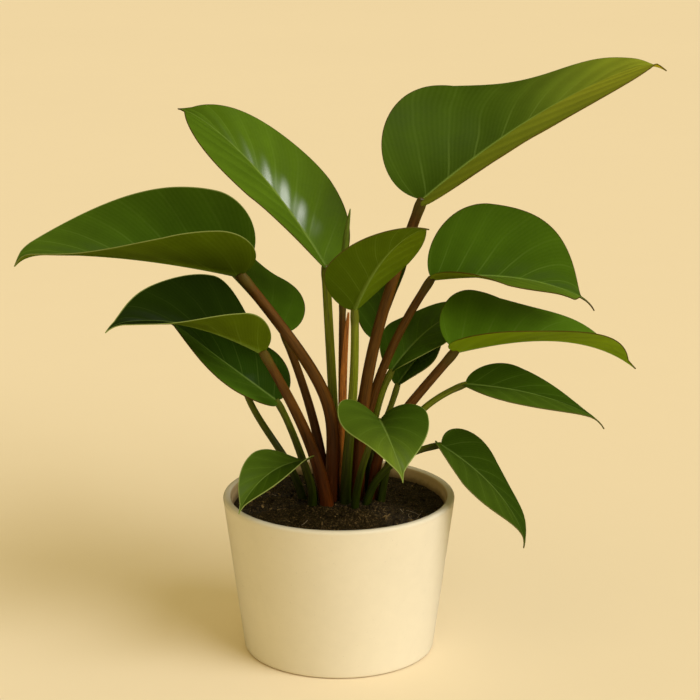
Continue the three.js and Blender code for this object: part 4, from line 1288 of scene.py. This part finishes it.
def add_floor(settings):
    """A wide round floor, flat and plain."""
    points, (quads, fans) = closed_tube(lathe([(0.05, 0.0), (3.0, 0.0), (14.0, 0.0)], 96))
    mesh = bpy.data.meshes.new("floor")
    mesh.from_pydata(points[:-1].tolist(), [], quads.tolist() + fans[: len(fans) // 2].tolist())
    floor = link_new("floor", mesh)
    skin = Finish("pale_floor")
    toned = skin.group("Uneven Tone", {"Color": settings.floor, "Scale": 1.2, "Amount": 0.01})
    mesh.materials.append(skin.done(toned["Color"], 0.9, Specular_IOR_Level=0.1))
    floor.visible_glossy = False


def add_lights(settings):
    """A broad soft light from the right, and even light all round. Only a small softbox shows in glossy surfaces."""
    key = bpy.data.lights.new("key_light", "SUN")
    key.energy, key.angle, key.color = settings.key_light, settings.key_angle, settings.key_colour
    lamp = link_new("key_light", key)
    aim(lamp, Vector(KEY_FROM), Vector((0, 0, 0)))
    lamp.visible_glossy = False

    soft = bpy.data.lights.new("overhead_softbox", "AREA")
    soft.shape, soft.size, soft.energy, soft.color = "DISK", settings.softbox_size, settings.softbox, SOFTBOX_COLOUR
    box = link_new("overhead_softbox", soft)
    aim(box, Vector(SOFTBOX_AT), Vector(SOFTBOX_TARGET))
    box.visible_diffuse = False

    world = bpy.data.worlds.new("even_light")
    world.use_nodes = True
    background = world.node_tree.nodes["Background"]
    background.inputs["Color"].default_value = rgba(settings.fill_colour)
    background.inputs["Strength"].default_value = settings.fill_light
    bpy.context.scene.world = world
    world.cycles_visibility.glossy = False


def add_camera(settings):
    """The photo's own view: a long lens that looks a little down."""
    camera = bpy.data.cameras.new("camera")
    camera.lens, camera.sensor_width = settings.lens, 36
    camera.clip_start, camera.clip_end = 0.05, 60
    eye = link_new("camera", camera)
    target = Vector(CAMERA_TARGET)
    back = Vector((0, -np.cos(settings.camera_tilt), np.sin(settings.camera_tilt)))
    aim(eye, target + back * settings.distance, target)
    bpy.context.scene.camera = eye
    bpy.context.scene.view_settings.view_transform = "Standard"


def aim(thing, place, target):
    """Puts a lamp or camera at a place, looking at the target with its top up."""
    turn = (target - place).to_track_quat("-Z", "Y").to_matrix().to_4x4()
    thing.matrix_world = Matrix.Translation(place) @ turn


# Add-on


STEPS = (
    PHILODENDRON_OT_finishes,
    PHILODENDRON_OT_stage,
    PHILODENDRON_OT_pot,
    PHILODENDRON_OT_soil,
    PHILODENDRON_OT_stems,
    PHILODENDRON_OT_blades,
    PHILODENDRON_OT_new_leaf,
)


class PHILODENDRON_PT_panel(Panel):
    """Sizes, colours and pieces of the potted philodendron"""

    bl_idname = "PHILODENDRON_PT_panel"
    bl_label = "Potted Philodendron"
    bl_space_type = "VIEW_3D"
    bl_region_type = "UI"
    bl_category = "Philodendron"

    def draw(self, context):
        settings = context.scene.philodendron
        for part in ("leaves", "stems", "pot", "soil", "stage"):
            box = self.layout.box()
            box.label(text=part.capitalize())
            group = getattr(settings, part)
            for key in type(group).__annotations__:
                box.prop(group, key)
        for step in STEPS:
            self.layout.operator(step.bl_idname)


CLASSES = (
    LeafSettings,
    StemSettings,
    PotSettings,
    SoilSettings,
    StageSettings,
    PhilodendronSettings,
    *STEPS,
    PHILODENDRON_PT_panel,
)


def register():
    """Adds the settings, the operators and the panel to Blender."""
    for cls in CLASSES:
        bpy.utils.register_class(cls)
    bpy.types.Scene.philodendron = PointerProperty(type=PhilodendronSettings)


def unregister():
    """Takes them out again."""
    del bpy.types.Scene.philodendron
    for cls in reversed(CLASSES):
        bpy.utils.unregister_class(cls)


def main():
    """Adds every piece and the stage."""
    register()
    for step in STEPS:
        family, action = step.bl_idname.split(".")
        getattr(getattr(bpy.ops, family), action)()
    bpy.context.view_layer.update()


if __name__ == "__main__":
    main()
